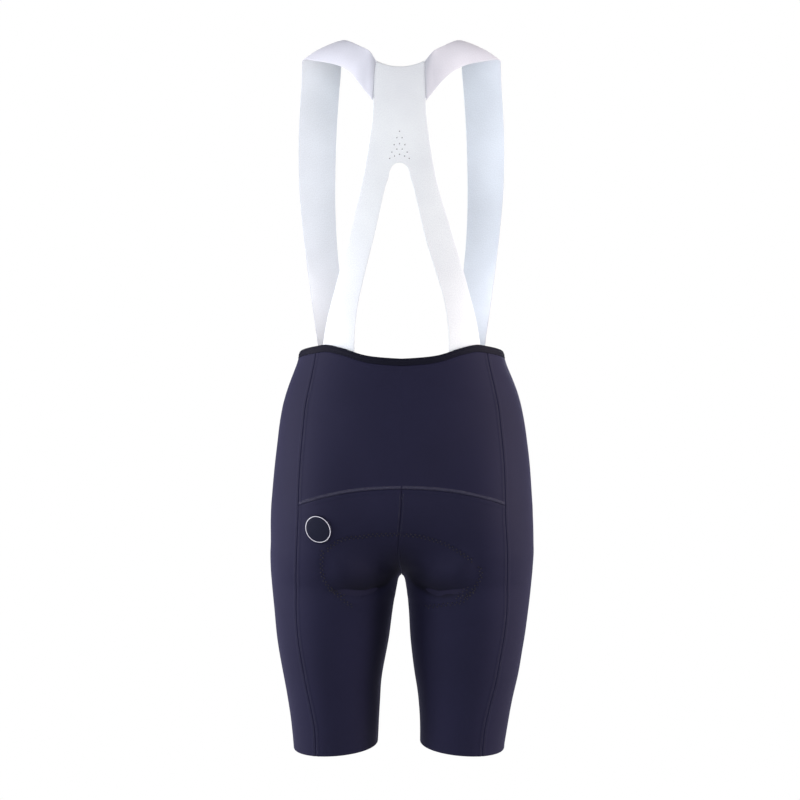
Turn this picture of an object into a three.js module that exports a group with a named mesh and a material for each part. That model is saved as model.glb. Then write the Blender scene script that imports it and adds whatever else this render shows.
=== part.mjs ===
import * as THREE from 'three';

// Cycling bib shorts, filled out as if worn with nobody in them, in millimetres.
// +Z is up and the wearer faces -Y, so the wearer's left is +X. The origin is midway between the
// shoulders, at the height where the straps' neck-side edges rest on them.

// Driving sizes of the cloth
const SEAM_GAP = 0.3;
const KNIT_WALL = 1.2;
const STRAP_WALL = 1.0;
const BAND_HEIGHT = 9;
const BAND_PROUD = 0.6;
const BAND_INSIDE = 1.8;
const STRAP_SINK = 2.5;

// The garment's own form below the waist: one trunk and two thighs, blended into one skin.
// Each row is a level section. Back and front are how far it reaches along +Y and -Y.
const TRUNK = [
  { z: 0, halfWidth: 150, back: 50, front: -60 },
  { z: -60, halfWidth: 150, back: 74, front: -75 },
  { z: -120, halfWidth: 146, back: 87, front: -92 },
  { z: -200, halfWidth: 140, back: 93, front: -105 },
  { z: -280, halfWidth: 134, back: 88, front: -104 },
  { z: -340, halfWidth: 128, back: 84, front: -94 },
  { z: -385, halfWidth: 126.5, back: 84, front: -88 },
  { z: -400, halfWidth: 131, back: 86, front: -88 },
  { z: -422, halfWidth: 139.5, back: 90, front: -90 },
  { z: -443, halfWidth: 148, back: 94, front: -93 },
  { z: -464, halfWidth: 154.5, back: 98, front: -95 },
  { z: -506, halfWidth: 161.5, back: 106, front: -97 },
  { z: -548, halfWidth: 165, back: 112, front: -97 },
  { z: -600, halfWidth: 166, back: 116, front: -94 },
];
const THIGH = [
  { z: -430, centre: 84, halfWidth: 12, back: 20, front: -16 },
  { z: -500, centre: 84, halfWidth: 50, back: 66, front: -58 },
  { z: -560, centre: 84, halfWidth: 73, back: 96, front: -78 },
  { z: -620, centre: 87, halfWidth: 82, back: 109, front: -86 },
  { z: -660, centre: 88, halfWidth: 83.5, back: 108, front: -87 },
  { z: -688, centre: 87.5, halfWidth: 82.3, back: 101, front: -85 },
  { z: -706, centre: 87.5, halfWidth: 80.5, back: 94, front: -84 },
  { z: -740, centre: 88, halfWidth: 76, back: 89, front: -81 },
  { z: -783, centre: 88, halfWidth: 71.5, back: 82, front: -75 },
  { z: -846, centre: 88, halfWidth: 61, back: 71, front: -64 },
  { z: -905, centre: 86.5, halfWidth: 55.5, back: 63, front: -54 },
  { z: -940, centre: 86, halfWidth: 53.5, back: 60, front: -50 },
];
const TRUNK_FLOOR = -600;
const TRUNK_CAP = 84;
const TRUNK_SQUARENESS = 2.35;
const THIGH_SQUARENESS = 2.05;
const BLEND = 22;
const CROTCH_ROUNDING = 4;

// Every place on the left half is a turn about this upright axis through the leg, and a height.
// Turn 0 points to the wearer's left, 90 degrees to the back and 180 to the inside of the leg.
const AXIS_X = 86;
const AXIS_Y = 8;
const FAR = 260;

// Heights round the waist's top edge
const WAIST = [
  { turn: 140, z: -419 },
  { turn: 119, z: -414.5 },
  { turn: 100, z: -405 },
  { turn: 81, z: -400 },
  { turn: 62, z: -401.5 },
  { turn: 30, z: -404.5 },
  { turn: 0, z: -407 },
  { turn: -45, z: -408.5 },
  { turn: -90, z: -411 },
  { turn: -140, z: -417.5 },
];

// How far to the side the long back seam runs, from the waist to the hem
const SIDE_SEAM = [
  { z: -412, x: 110.5 },
  { z: -470, x: 121.5 },
  { z: -513, x: 125.5 },
  { z: -557, x: 129 },
  { z: -602, x: 131 },
  { z: -689, x: 131.5 },
  { z: -732, x: 130.7 },
  { z: -772, x: 128 },
  { z: -820, x: 120.6 },
  { z: -866, x: 113 },
  { z: -890, x: 109.6 },
  { z: -925, x: 109 },
];

// Rows of the panels: the waist is row 0, the curved seat seam, the crotch and the hem follow
const SEAT_SEAM_ROW = 8;
const CROTCH_ROW = 17;
const HEM_ROW = 28;
const BACK_COLUMNS = 9;
const FRONT_COLUMNS = 15;
const COLUMN_CROWDING = 1.3;
const SEAT_SEAM_CENTRE = -580.5;
const SEAT_SEAM_SIDE = -602;
const SEAT_SEAM_BEND = 1.8;
const CROTCH_ROW_SIDE = -688;
const LEG_ROW_CROWDING = 1.25;
const SIDE_SEAM_TOP = -410;
const SIDE_SEAM_FARTHEST = THREE.MathUtils.degToRad(100);
const CENTRE_TURN = THREE.MathUtils.degToRad(140);
const HEM = { level: -917, outerDrop: 3.5, backDrop: 3 };

// Colours and finishes
const navyKnit = new THREE.MeshStandardMaterial({ color: 0x2a283c, roughness: 0.62, metalness: 0 });
const whiteMesh = new THREE.MeshStandardMaterial({ color: 0xe9edf5, roughness: 0.7, metalness: 0 });
const patchRubber = new THREE.MeshStandardMaterial({ color: 0x1d1c29, roughness: 0.5, metalness: 0 });
const padFoam = new THREE.MeshStandardMaterial({ color: 0x35333f, roughness: 0.8, metalness: 0 });

const mix = THREE.MathUtils.lerp;

// How finely points on the form are looked for
const HALVINGS = 32;
const SLOPE_STEP = 0.5;

// A function that works out each answer once
function remembered(work) {
  const answers = new Map();
  return (...question) => {
    const key = question.join();
    if (!answers.has(key)) answers.set(key, work(...question));
    return answers.get(key);
  };
}

// Reads a table of rows at a place between them, with a smooth curve through each column
function read(rows, along, at) {
  const order = Math.sign(rows[1][along] - rows[0][along]);
  let i = 0;
  while (i < rows.length - 2 && order * (at - rows[i + 1][along]) > 0) i += 1;
  const before = rows[Math.max(0, i - 1)];
  const here = rows[i];
  const next = rows[i + 1];
  const after = rows[Math.min(rows.length - 1, i + 2)];
  const span = next[along] - here[along];
  const s = THREE.MathUtils.clamp((at - here[along]) / span, 0, 1);
  const out = {};
  for (const name of Object.keys(here)) {
    const slopeHere = i === 0 ? (next[name] - here[name]) / span
      : (next[name] - before[name]) / (next[along] - before[along]);
    const slopeNext = after === next ? (next[name] - here[name]) / span
      : (after[name] - here[name]) / (after[along] - here[along]);
    out[name] = (2 * s ** 3 - 3 * s ** 2 + 1) * here[name]
      + (s ** 3 - 2 * s ** 2 + s) * span * slopeHere
      + (3 * s ** 2 - 2 * s ** 3) * next[name]
      + (s ** 3 - s ** 2) * span * slopeNext;
  }
  return out;
}

// Below zero inside the trunk, which closes like a bowl under its floor level
function trunk(x, y, z) {
  const row = read(TRUNK, 'z', Math.max(z, TRUNK_FLOOR));
  const depth = (row.back - row.front) / 2;
  const middle = (row.back + row.front) / 2;
  const sunk = Math.max(0, TRUNK_FLOOR - z) / TRUNK_CAP;
  const sum = (Math.abs(x) / row.halfWidth) ** TRUNK_SQUARENESS
    + (Math.abs(y - middle) / depth) ** TRUNK_SQUARENESS
    + sunk ** TRUNK_SQUARENESS;
  return (sum ** (1 / TRUNK_SQUARENESS) - 1) * depth;
}

// Below zero inside either thigh
function thigh(x, y, z) {
  const row = read(THIGH, 'z', z);
  const depth = (row.back - row.front) / 2;
  const middle = (row.back + row.front) / 2;
  const across = Math.hypot(x, CROTCH_ROUNDING) - row.centre;
  const sum = (Math.abs(across) / row.halfWidth) ** THIGH_SQUARENESS
    + (Math.abs(y - middle) / depth) ** THIGH_SQUARENESS;
  return (sum ** (1 / THIGH_SQUARENESS) - 1) * row.halfWidth;
}

// Below zero inside the garment's form, with the trunk and the thighs melted together
function form(x, y, z) {
  const a = trunk(x, y, z);
  const b = thigh(x, y, z);
  const overlap = Math.max(BLEND - Math.abs(a - b), 0) / BLEND;
  return Math.min(a, b) - overlap * overlap * BLEND / 4;
}

// The direction straight out of the form at a point
function outward(p) {
  return new THREE.Vector3(
    form(p.x + SLOPE_STEP, p.y, p.z) - form(p.x - SLOPE_STEP, p.y, p.z),
    form(p.x, p.y + SLOPE_STEP, p.z) - form(p.x, p.y - SLOPE_STEP, p.z),
    form(p.x, p.y, p.z + SLOPE_STEP) - form(p.x, p.y, p.z - SLOPE_STEP),
  ).normalize();
}

// Where a straight line from a point inside leaves the form, no farther than its reach
function exitPoint(from, direction, reach) {
  const at = (distance) => from.clone().addScaledVector(direction, distance);
  const value = (distance) => {
    const p = at(distance);
    return form(p.x, p.y, p.z);
  };
  if (value(reach) <= 0) return at(reach);
  let inside = 0;
  let outside = reach;
  for (let i = 0; i < HALVINGS; i += 1) {
    const middle = (inside + outside) / 2;
    if (value(middle) < 0) inside = middle;
    else outside = middle;
  }
  return at(inside);
}

// The left half's skin at a turn and a height, kept off the middle plane by `clear`
function skin(turn, z, clear) {
  const direction = new THREE.Vector3(Math.cos(turn), Math.sin(turn), 0);
  const reach = direction.x < 0 ? Math.min(FAR, (AXIS_X - clear) / -direction.x) : FAR;
  return exitPoint(new THREE.Vector3(AXIS_X, AXIS_Y, z), direction, reach);
}

// The rise: the form's middle line, from the back of the waist under the crotch to the front
const RISE_PIVOT = new THREE.Vector3(0, AXIS_Y, -610);
const RISE_TOP = -395;
const RISE_STEPS = 60;
function riseLine() {
  const levels = Array.from({ length: RISE_STEPS }, (_, i) => mix(RISE_TOP, RISE_PIVOT.z, i / RISE_STEPS));
  const level = (z, side) => exitPoint(new THREE.Vector3(0, AXIS_Y, z), new THREE.Vector3(0, side, 0), FAR);
  const back = levels.map((z) => level(z, 1));
  const front = levels.map((z) => level(z, -1)).reverse();
  const under = Array.from({ length: RISE_STEPS + 1 }, (_, i) => {
    const angle = Math.PI * i / RISE_STEPS;
    return exitPoint(RISE_PIVOT, new THREE.Vector3(0, Math.cos(angle), -Math.sin(angle)), FAR);
  });
  const points = [...back, ...under, ...front];
  const lengths = [0];
  points.slice(1).forEach((p, i) => lengths.push(lengths[i] + p.distanceTo(points[i])));
  return { points, lengths };
}
const RISE = riseLine();

// A point of the rise at a length along it
function riseAt(length) {
  let i = 0;
  while (i < RISE.lengths.length - 2 && RISE.lengths[i + 1] < length) i += 1;
  const s = (length - RISE.lengths[i]) / (RISE.lengths[i + 1] - RISE.lengths[i]);
  return RISE.points[i].clone().lerp(RISE.points[i + 1], s);
}

// The length along the rise at which it passes a height, on the side named back or front
function riseLengthAt(z, side) {
  const count = RISE.points.length;
  const order = side === 'back' ? RISE.points.map((_, i) => i) : RISE.points.map((_, i) => count - 1 - i);
  const k = order.findIndex((i) => RISE.points[i].z <= z);
  const a = RISE.points[order[k - 1]];
  const b = RISE.points[order[k]];
  return mix(RISE.lengths[order[k - 1]], RISE.lengths[order[k]], (z - a.z) / (b.z - a.z));
}
const CROTCH_LENGTH = RISE.lengths[RISE_STEPS + RISE_STEPS / 2];
const CROTCH = riseAt(CROTCH_LENGTH);

// Heights that a turn gives: the waist's top edge, the panels' top edge under the band, and the hem
const waistZ = (turn) => read(WAIST, 'turn', THREE.MathUtils.radToDeg(turn)).z;
const panelTopZ = (turn) => waistZ(turn) - BAND_HEIGHT - SEAM_GAP;
const hemZ = (turn) => HEM.level - HEM.outerDrop * Math.cos(turn) - HEM.backDrop * Math.sin(turn);

// The turn at which the long back seam passes a height, searched between the side and the back
function seamTurn(z) {
  const { x } = read(SIDE_SEAM, 'z', z);
  let near = 0;
  let far = SIDE_SEAM_FARTHEST;
  for (let i = 0; i < HALVINGS; i += 1) {
    const middle = (near + far) / 2;
    if (skin(middle, z, 0).x > x) near = middle;
    else far = middle;
  }
  return near;
}

// How far down the leg a row under the crotch lies
const legShare = (row) => ((row - CROTCH_ROW) / (HEM_ROW - CROTCH_ROW)) ** LEG_ROW_CROWDING;

// Where each row crosses the long back seam
const sideRow = remembered((row) => {
  const top = panelTopZ(seamTurn(SIDE_SEAM_TOP));
  let z = mix(top, SEAT_SEAM_SIDE, row / SEAT_SEAM_ROW);
  if (row > SEAT_SEAM_ROW) {
    z = mix(SEAT_SEAM_SIDE, CROTCH_ROW_SIDE, (row - SEAT_SEAM_ROW) / (CROTCH_ROW - SEAT_SEAM_ROW));
  }
  if (row > CROTCH_ROW) z = mix(CROTCH_ROW_SIDE, hemZ(seamTurn(HEM.level)), legShare(row));
  return { turn: seamTurn(z), z };
});

// Where each row starts or ends on the middle plane, above the crotch, or on the inseam below it
const middleRow = remembered((row, side) => {
  const sign = side === 'back' ? 1 : -1;
  if (row > CROTCH_ROW) return { turn: sign * Math.PI, z: mix(CROTCH.z, hemZ(Math.PI), legShare(row)) };
  const seatStart = riseLengthAt(side === 'back' ? SEAT_SEAM_CENTRE : panelTopZ(-CENTRE_TURN), side);
  const firstRow = side === 'back' ? SEAT_SEAM_ROW : 0;
  if (row < firstRow) {
    const z = mix(panelTopZ(CENTRE_TURN), SEAT_SEAM_CENTRE, row / SEAT_SEAM_ROW);
    return onMiddle(riseAt(riseLengthAt(z, side)), sign);
  }
  const share = (row - firstRow) / (CROTCH_ROW - firstRow);
  return onMiddle(riseAt(mix(seatStart, CROTCH_LENGTH, share)), sign);
});
function onMiddle(point, sign) {
  const turn = Math.atan2(sign * (point.y - AXIS_Y), -AXIS_X);
  return { turn: sign * Math.abs(turn), z: point.z, y: point.y };
}

// Height of a back row at a share of the way from the middle to the side seam
function backZ(row, turn, share) {
  const start = middleRow(row, 'back');
  const end = sideRow(row);
  if (row > CROTCH_ROW) {
    const crotchZ = mix(CROTCH.z, CROTCH_ROW_SIDE, share ** SEAT_SEAM_BEND);
    return mix(crotchZ, hemZ(turn), legShare(row));
  }
  const low = Math.max(row, SEAT_SEAM_ROW);
  const lowStart = low === row ? start : middleRow(low, 'back');
  const lowEnd = low === row ? end : sideRow(low);
  const lowZ = mix(lowStart.z, lowEnd.z, share ** SEAT_SEAM_BEND);
  return row >= SEAT_SEAM_ROW ? lowZ : mix(panelTopZ(turn), lowZ, row / SEAT_SEAM_ROW);
}

// Height of a front row at a share of the way from the side seam round to the middle
function frontZ(row, turn, share) {
  if (row > CROTCH_ROW) {
    return mix(mix(CROTCH_ROW_SIDE, CROTCH.z, share), hemZ(turn), legShare(row));
  }
  const straight = mix(sideRow(row).z, middleRow(row, 'front').z, share);
  const topCurve = panelTopZ(turn) - mix(sideRow(0).z, middleRow(0, 'front').z, share);
  return straight + topCurve * Math.max(0, 1 - row / SEAT_SEAM_ROW);
}

// A grid of points over one panel of the left half. `side` says back or front, and `joined` lets the
// panel reach the middle plane itself instead of stopping half a seam gap short of it.
function panelGrid({ side, firstRow, lastRow, columns, joined = false }) {
  const grid = [];
  const half = SEAM_GAP / 2;
  const clear = joined ? 0 : half;
  for (let row = firstRow; row <= lastRow; row += 1) {
    const middle = middleRow(row, side);
    const seam = sideRow(row);
    const seamRadius = skin(seam.turn, seam.z, 0).distanceTo(new THREE.Vector3(AXIS_X, AXIS_Y, seam.z));
    const seamEdge = seam.turn + (side === 'back' ? 1 : -1) * half / seamRadius;
    const inseamEdge = middle.turn - Math.sign(middle.turn) * half / AXIS_X * (row >= CROTCH_ROW ? 1 : 0);
    const line = [];
    for (let column = 0; column <= columns; column += 1) {
      const share = (column / columns) ** COLUMN_CROWDING;
      const turn = mix(inseamEdge, seamEdge, share);
      let z = side === 'back' ? backZ(row, turn, share) : frontZ(row, turn, 1 - share);
      if (row === SEAT_SEAM_ROW && side === 'back') z += (firstRow === row ? -1 : 1) * half;
      if (column === 0 && row <= CROTCH_ROW) {
        const y = row === CROTCH_ROW ? AXIS_Y + Math.sign(middle.turn) * half : middle.y;
        line.push(new THREE.Vector3(clear, y, z));
      } else {
        line.push(skin(turn, z, clear));
      }
    }
    grid.push(line);
  }
  return grid;
}

// A point moved along the form's outward direction, and never across the middle plane
function lifted(p, distance, clear = 0) {
  const q = p.clone().addScaledVector(outward(p), distance);
  q.x = p.x <= clear + 1e-6 ? clear : Math.max(q.x, clear);
  return q;
}
const movedGrid = (grid, distance, clear) => grid.map((line) => line.map((p) => lifted(p, distance, clear)));

// A patch is the outer and the inner grid of one piece of wall. The other side's patch has its
// columns reversed, so that its outer face still points out.
const mirroredPoint = (p) => new THREE.Vector3(-p.x, p.y, p.z);
const mirroredGrid = (grid) => grid.map((line) => line.map(mirroredPoint).reverse());
const mirroredPatch = ({ outer, inner }) => ({ outer: mirroredGrid(outer), inner: mirroredGrid(inner) });

// A closed wall over patches that share points, with a rim wherever the outer grid has a free edge
function wallGeometry(patches) {
  const outerPoints = [];
  const innerPoints = [];
  const numbers = new Map();
  const numberOf = (p, q) => {
    const key = [p.x, p.y, p.z].map((value) => Math.round(value * 1000) + 0).join();
    if (!numbers.has(key)) {
      numbers.set(key, outerPoints.length);
      outerPoints.push(p);
      innerPoints.push(q);
    }
    return numbers.get(key);
  };
  const faces = [];
  const addFace = (...corners) => {
    if (new Set(corners).size === 3) faces.push(corners);
  };
  for (const { outer, inner } of patches) {
    const at = outer.map((line, r) => line.map((p, c) => numberOf(p, inner[r][c])));
    for (let r = 0; r < at.length - 1; r += 1) {
      for (let c = 0; c < at[r].length - 1; c += 1) {
        addFace(at[r][c], at[r][c + 1], at[r + 1][c + 1]);
        addFace(at[r][c], at[r + 1][c + 1], at[r + 1][c]);
      }
    }
  }
  const edges = new Set(faces.flatMap(([a, b, c]) => [`${a},${b}`, `${b},${c}`, `${c},${a}`]));
  const count = outerPoints.length;
  const innerFaces = faces.map(([a, b, c]) => [a + count, c + count, b + count]);
  const rim = [];
  for (const edge of edges) {
    const [a, b] = edge.split(',').map(Number);
    if (!edges.has(`${b},${a}`)) rim.push([b, a, a + count], [b, a + count, b + count]);
  }
  return solidGeometry([...outerPoints, ...innerPoints], [...faces, ...innerFaces, ...rim]);
}

// A closed ring of closed sections
function ringGeometry(sections) {
  const size = sections[0].length;
  const at = (s, k) => (s % sections.length) * size + (k % size);
  const faces = [];
  for (let s = 0; s < sections.length; s += 1) {
    for (let k = 0; k < size; k += 1) {
      faces.push([at(s, k), at(s, k + 1), at(s + 1, k + 1)], [at(s, k), at(s + 1, k + 1), at(s + 1, k)]);
    }
  }
  return solidGeometry(sections.flat(), faces);
}

// Points and faces as a geometry, turned right side out
function solidGeometry(points, faces) {
  const volume = faces.reduce((sum, [a, b, c]) => sum
    + points[a].dot(new THREE.Vector3().crossVectors(points[b], points[c])), 0);
  const ordered = volume < 0 ? faces.map(([a, b, c]) => [a, c, b]) : faces;
  const geometry = new THREE.BufferGeometry().setFromPoints(points);
  geometry.setIndex(ordered.flat());
  geometry.computeVertexNormals();
  return geometry;
}

const garment = new THREE.Group();
function addPiece(name, geometry, material) {
  const mesh = new THREE.Mesh(geometry, material);
  mesh.name = name;
  garment.add(mesh);
}
function addPair(name, patch, material) {
  addPiece(`${name}_left`, wallGeometry([patch]), material);
  addPiece(`${name}_right`, wallGeometry([mirroredPatch(patch)]), material);
}

// Knit panels of the shorts: two seat panels that run down the legs, two fronts that wrap round the
// sides, and the panel over the small of the back
function knitPatch(panel, clear) {
  const outer = panelGrid(panel);
  return { outer, inner: movedGrid(outer, -KNIT_WALL, clear) };
}
const seatPanel = { side: 'back', firstRow: SEAT_SEAM_ROW, lastRow: HEM_ROW, columns: BACK_COLUMNS };
const frontPanel = { side: 'front', firstRow: 0, lastRow: HEM_ROW, columns: FRONT_COLUMNS };
const waistPanel = { side: 'back', firstRow: 0, lastRow: SEAT_SEAM_ROW, columns: BACK_COLUMNS, joined: true };
addPair('back_seat', knitPatch(seatPanel, SEAM_GAP / 2), navyKnit);
addPair('front', knitPatch(frontPanel, SEAM_GAP / 2), navyKnit);
const waistPatch = knitPatch(waistPanel, 0);
addPiece('back_waist_panel', wallGeometry([waistPatch, mirroredPatch(waistPatch)]), navyKnit);

// The band round the waist's top edge, a rounded strip in section
function waistBand() {
  const profile = [
    { out: BAND_PROUD, down: 2 },
    { out: BAND_PROUD, down: BAND_HEIGHT - 1.5 },
    { out: 0.2, down: BAND_HEIGHT },
    { out: -BAND_INSIDE + 0.4, down: BAND_HEIGHT },
    { out: -BAND_INSIDE, down: BAND_HEIGHT - 1.5 },
    { out: -BAND_INSIDE, down: 1.5 },
    { out: -BAND_INSIDE + 0.7, down: 0.2 },
    { out: 0, down: 0.4 },
  ];
  const centreBack = middleRow(0, 'back').turn;
  const seam = sideRow(0).turn;
  const centreFront = middleRow(0, 'front').turn;
  const turnsTo = (middle, columns) => Array.from({ length: columns + 1 }, (_, i) => (
    mix(middle, seam, (i / columns) ** COLUMN_CROWDING)));
  const backTurns = turnsTo(centreBack, BACK_COLUMNS).slice(0, -1);
  const frontTurns = turnsTo(centreFront, FRONT_COLUMNS).reverse();
  const section = (turn, onMiddlePlane) => profile.map(({ out, down }) => {
    const p = skin(turn, waistZ(turn) - down, 0);
    if (onMiddlePlane) p.x = 0;
    return lifted(p, out);
  });
  const turns = [...backTurns, ...frontTurns];
  const left = turns.map((turn, i) => section(turn, i === 0 || i === turns.length - 1));
  const right = left.slice(1, -1).reverse().map((points) => points.map(mirroredPoint));
  return ringGeometry([...left, ...right]);
}
addPiece('waist_band', waistBand(), navyKnit);

// A point of the form straight behind (+1) or in front (-1) of a place on the front view
function faceOn(x, z, side) {
  return exitPoint(new THREE.Vector3(x, AXIS_Y, z), new THREE.Vector3(0, side, 0), FAR);
}

// The yoke between the shoulders, an inverted Y whose two legs run down inside the waist band
const YOKE_EDGE = [
  { z: -38, x: 31 },
  { z: -92, x: 33.4 },
  { z: -113, x: 34.3 },
  { z: -144, x: 38.2 },
  { z: -175, x: 43.2 },
  { z: -205, x: 49.8 },
  { z: -235, x: 58.4 },
  { z: -265, x: 67 },
  { z: -295, x: 75.8 },
  { z: -340, x: 88.8 },
  { z: -362, x: 95 },
  { z: -385, x: 100 },
  { z: -412, x: 104 },
];
const YOKE_SLOT = [
  { z: -190, x: 13.1 },
  { z: -205, x: 18.1 },
  { z: -235, x: 25 },
  { z: -265, x: 32 },
  { z: -295, x: 40.7 },
  { z: -340, x: 53.4 },
  { z: -362, x: 57.5 },
  { z: -385, x: 60 },
  { z: -412, x: 60.5 },
];
const NECKLINE = { centre: -46.6, side: -38 };
const YOKE_SEAM_END = -92.3;
const ARCH_TOP = -172.5;
const YOKE_COLUMNS = 4;
const NECK_ROWS = 4;
const CHEST_ROWS = 5;
const ARCH_ROWS = 5;
const LEG_ROWS = 14;
const LEG_END = -412;

// Rows of the yoke from the neckline down, each with its slot's and its edge's distance from the middle
function yokeRows() {
  const edgeAt = (z) => read(YOKE_EDGE, 'z', z).x;
  const rows = [];
  for (let i = 0; i <= NECK_ROWS; i += 1) {
    const share = i / NECK_ROWS;
    rows.push({
      slot: 0,
      edge: edgeAt(mix(NECKLINE.side, YOKE_SEAM_END, share)),
      z: (x) => mix(mix(NECKLINE.centre, NECKLINE.side, (x / YOKE_EDGE[0].x) ** 2), YOKE_SEAM_END, share),
    });
  }
  const addRow = (z, slot) => rows.push({ slot, edge: edgeAt(z), z: () => z });
  for (let i = 1; i <= CHEST_ROWS; i += 1) addRow(mix(YOKE_SEAM_END, ARCH_TOP, i / CHEST_ROWS), 0);
  const archHeight = ARCH_TOP - YOKE_SLOT[0].z;
  for (let i = 1; i <= ARCH_ROWS; i += 1) {
    const angle = Math.PI / 2 * i / ARCH_ROWS;
    addRow(ARCH_TOP - archHeight * (1 - Math.cos(angle)), YOKE_SLOT[0].x * Math.sin(angle));
  }
  for (let i = 1; i <= LEG_ROWS; i += 1) {
    const z = mix(YOKE_SLOT[0].z, LEG_END, i / LEG_ROWS);
    addRow(z, read(YOKE_SLOT, 'z', z).x);
  }
  return rows;
}
const yokeSkin = yokeRows().map(({ slot, edge, z }) => Array.from({ length: YOKE_COLUMNS + 1 }, (_, i) => {
  const x = mix(slot, edge, i / YOKE_COLUMNS);
  return faceOn(x, z(x), 1);
}));
const yokePatch = {
  outer: movedGrid(yokeSkin, -STRAP_SINK, 0),
  inner: movedGrid(yokeSkin, -STRAP_SINK - STRAP_WALL, 0),
};
addPiece('back_yoke', wallGeometry([yokePatch, mirroredPatch(yokePatch)]), whiteMesh);

// Shoulder straps: a band between its neck-side and its arm-side edge, from the yoke's side seam over
// the shoulder and down the front into the waist band
const STRAP = [
  { step: 0, neckX: 31.6, neckY: 62, neckZ: -38, armX: 34, armY: 77, armZ: -92, crown: 0 },
  { step: 1, neckX: 39.4, neckY: 57, neckZ: -27, armX: 42.3, armY: 72, armZ: -81, crown: 1 },
  { step: 2, neckX: 46, neckY: 50, neckZ: -21, armX: 54, armY: 63, armZ: -65, crown: 1.5 },
  { step: 3, neckX: 54, neckY: 41, neckZ: -15.5, armX: 67, armY: 50, armZ: -50, crown: 2 },
  { step: 4, neckX: 64, neckY: 28, neckZ: -8, armX: 84, armY: 34, armZ: -38.5, crown: 3 },
  { step: 5, neckX: 74, neckY: 12, neckZ: -1.5, armX: 108, armY: 17, armZ: -30, crown: 3.5 },
  { step: 6, neckX: 79, neckY: -4, neckZ: 0, armX: 128, armY: -2, armZ: -24, crown: 3.5 },
  { step: 7, neckX: 80.5, neckY: -24, neckZ: -8, armX: 131.5, armY: -22, armZ: -30, crown: 3.5 },
  { step: 8, neckX: 81, neckY: -46, neckZ: -28, armX: 133.5, armY: -41, armZ: -47, crown: 3 },
  { step: 9, neckX: 85, neckY: -67, neckZ: -64, armX: 136.5, armY: -57, armZ: -76, crown: 2.5 },
  { step: 10, neckX: 89, neckY: -86, neckZ: -115, armX: 139.4, armY: -71, armZ: -120, crown: 2 },
  { step: 11, neckX: 91, neckY: -99, neckZ: -178, armX: 139.3, armY: -82, armZ: -180, crown: 1.5 },
  { step: 12, neckX: 90.3, neckY: -102, neckZ: -228, armX: 135.5, armY: -85, armZ: -229, crown: 1.5 },
  { step: 13, neckX: 87, neckY: -101, neckZ: -277, armX: 130, armY: -81, armZ: -277, crown: 1 },
  { step: 14, neckX: 80.5, neckY: -93, neckZ: -335, armX: 122.5, armY: -68, armZ: -335, crown: 0.5 },
  { step: 15, neckX: 74, neckY: -84, neckZ: -385, armX: 116, armY: -54, armZ: -385, crown: 0 },
  { step: 16, neckX: 71, neckY: -82, neckZ: -412, armX: 114, armY: -50, armZ: -412, crown: 0 },
];
const STRAP_ROWS_PER_STEP = 2;
const STRAP_COLUMNS = 4;
const STRAP_SETTLES = { from: -250, to: -390 };
const YOKE_SEAM_GAP = 0.45;

// A grid moved square to itself, by a distance that may change from place to place
function movedSquare(grid, distanceAt) {
  const last = grid.length - 1;
  const end = grid[0].length - 1;
  return grid.map((line, r) => line.map((p, c) => {
    const along = grid[Math.min(r + 1, last)][c].clone().sub(grid[Math.max(r - 1, 0)][c]);
    const across = line[Math.min(c + 1, end)].clone().sub(line[Math.max(c - 1, 0)]);
    return p.clone().addScaledVector(along.cross(across).normalize(), distanceAt(r, c));
  }));
}

// The strap's middle surface, straight from edge to edge and then crowned, laid onto the form where
// it nears the waist, and set against the yoke's side seam at its other end
function strapSurface() {
  const count = STRAP_ROWS_PER_STEP * (STRAP.length - 1) + 1;
  const rows = Array.from({ length: count }, (_, r) => read(STRAP, 'step', r / STRAP_ROWS_PER_STEP));
  const shares = Array.from({ length: STRAP_COLUMNS + 1 }, (_, c) => c / STRAP_COLUMNS);
  const straight = rows.map((row) => shares.map((share) => (
    new THREE.Vector3(row.neckX, row.neckY, row.neckZ)
      .lerp(new THREE.Vector3(row.armX, row.armY, row.armZ), share))));
  const crowned = movedSquare(straight, (r, c) => rows[r].crown * 4 * shares[c] * (1 - shares[c]));
  const middleOf = (p) => lifted(p, -STRAP_SINK - STRAP_WALL / 2);
  crowned[0] = shares.map((share) => {
    const z = mix(NECKLINE.side, YOKE_SEAM_END, share);
    const seam = middleOf(faceOn(read(YOKE_EDGE, 'z', z).x, z, 1));
    return seam.setX(seam.x + YOKE_SEAM_GAP);
  });
  return crowned.map((line) => line.map((p) => {
    if (p.y > 0 || p.z > STRAP_SETTLES.from) return p;
    const settled = THREE.MathUtils.smoothstep(-p.z, -STRAP_SETTLES.from, -STRAP_SETTLES.to);
    return p.lerp(middleOf(faceOn(p.x, p.z, -1)), settled);
  }));
}
const strapMiddle = strapSurface();
const strapPatch = {
  outer: movedSquare(strapMiddle, () => STRAP_WALL / 2),
  inner: movedSquare(strapMiddle, () => -STRAP_WALL / 2),
};
addPair('shoulder_strap', strapPatch, whiteMesh);

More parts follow.
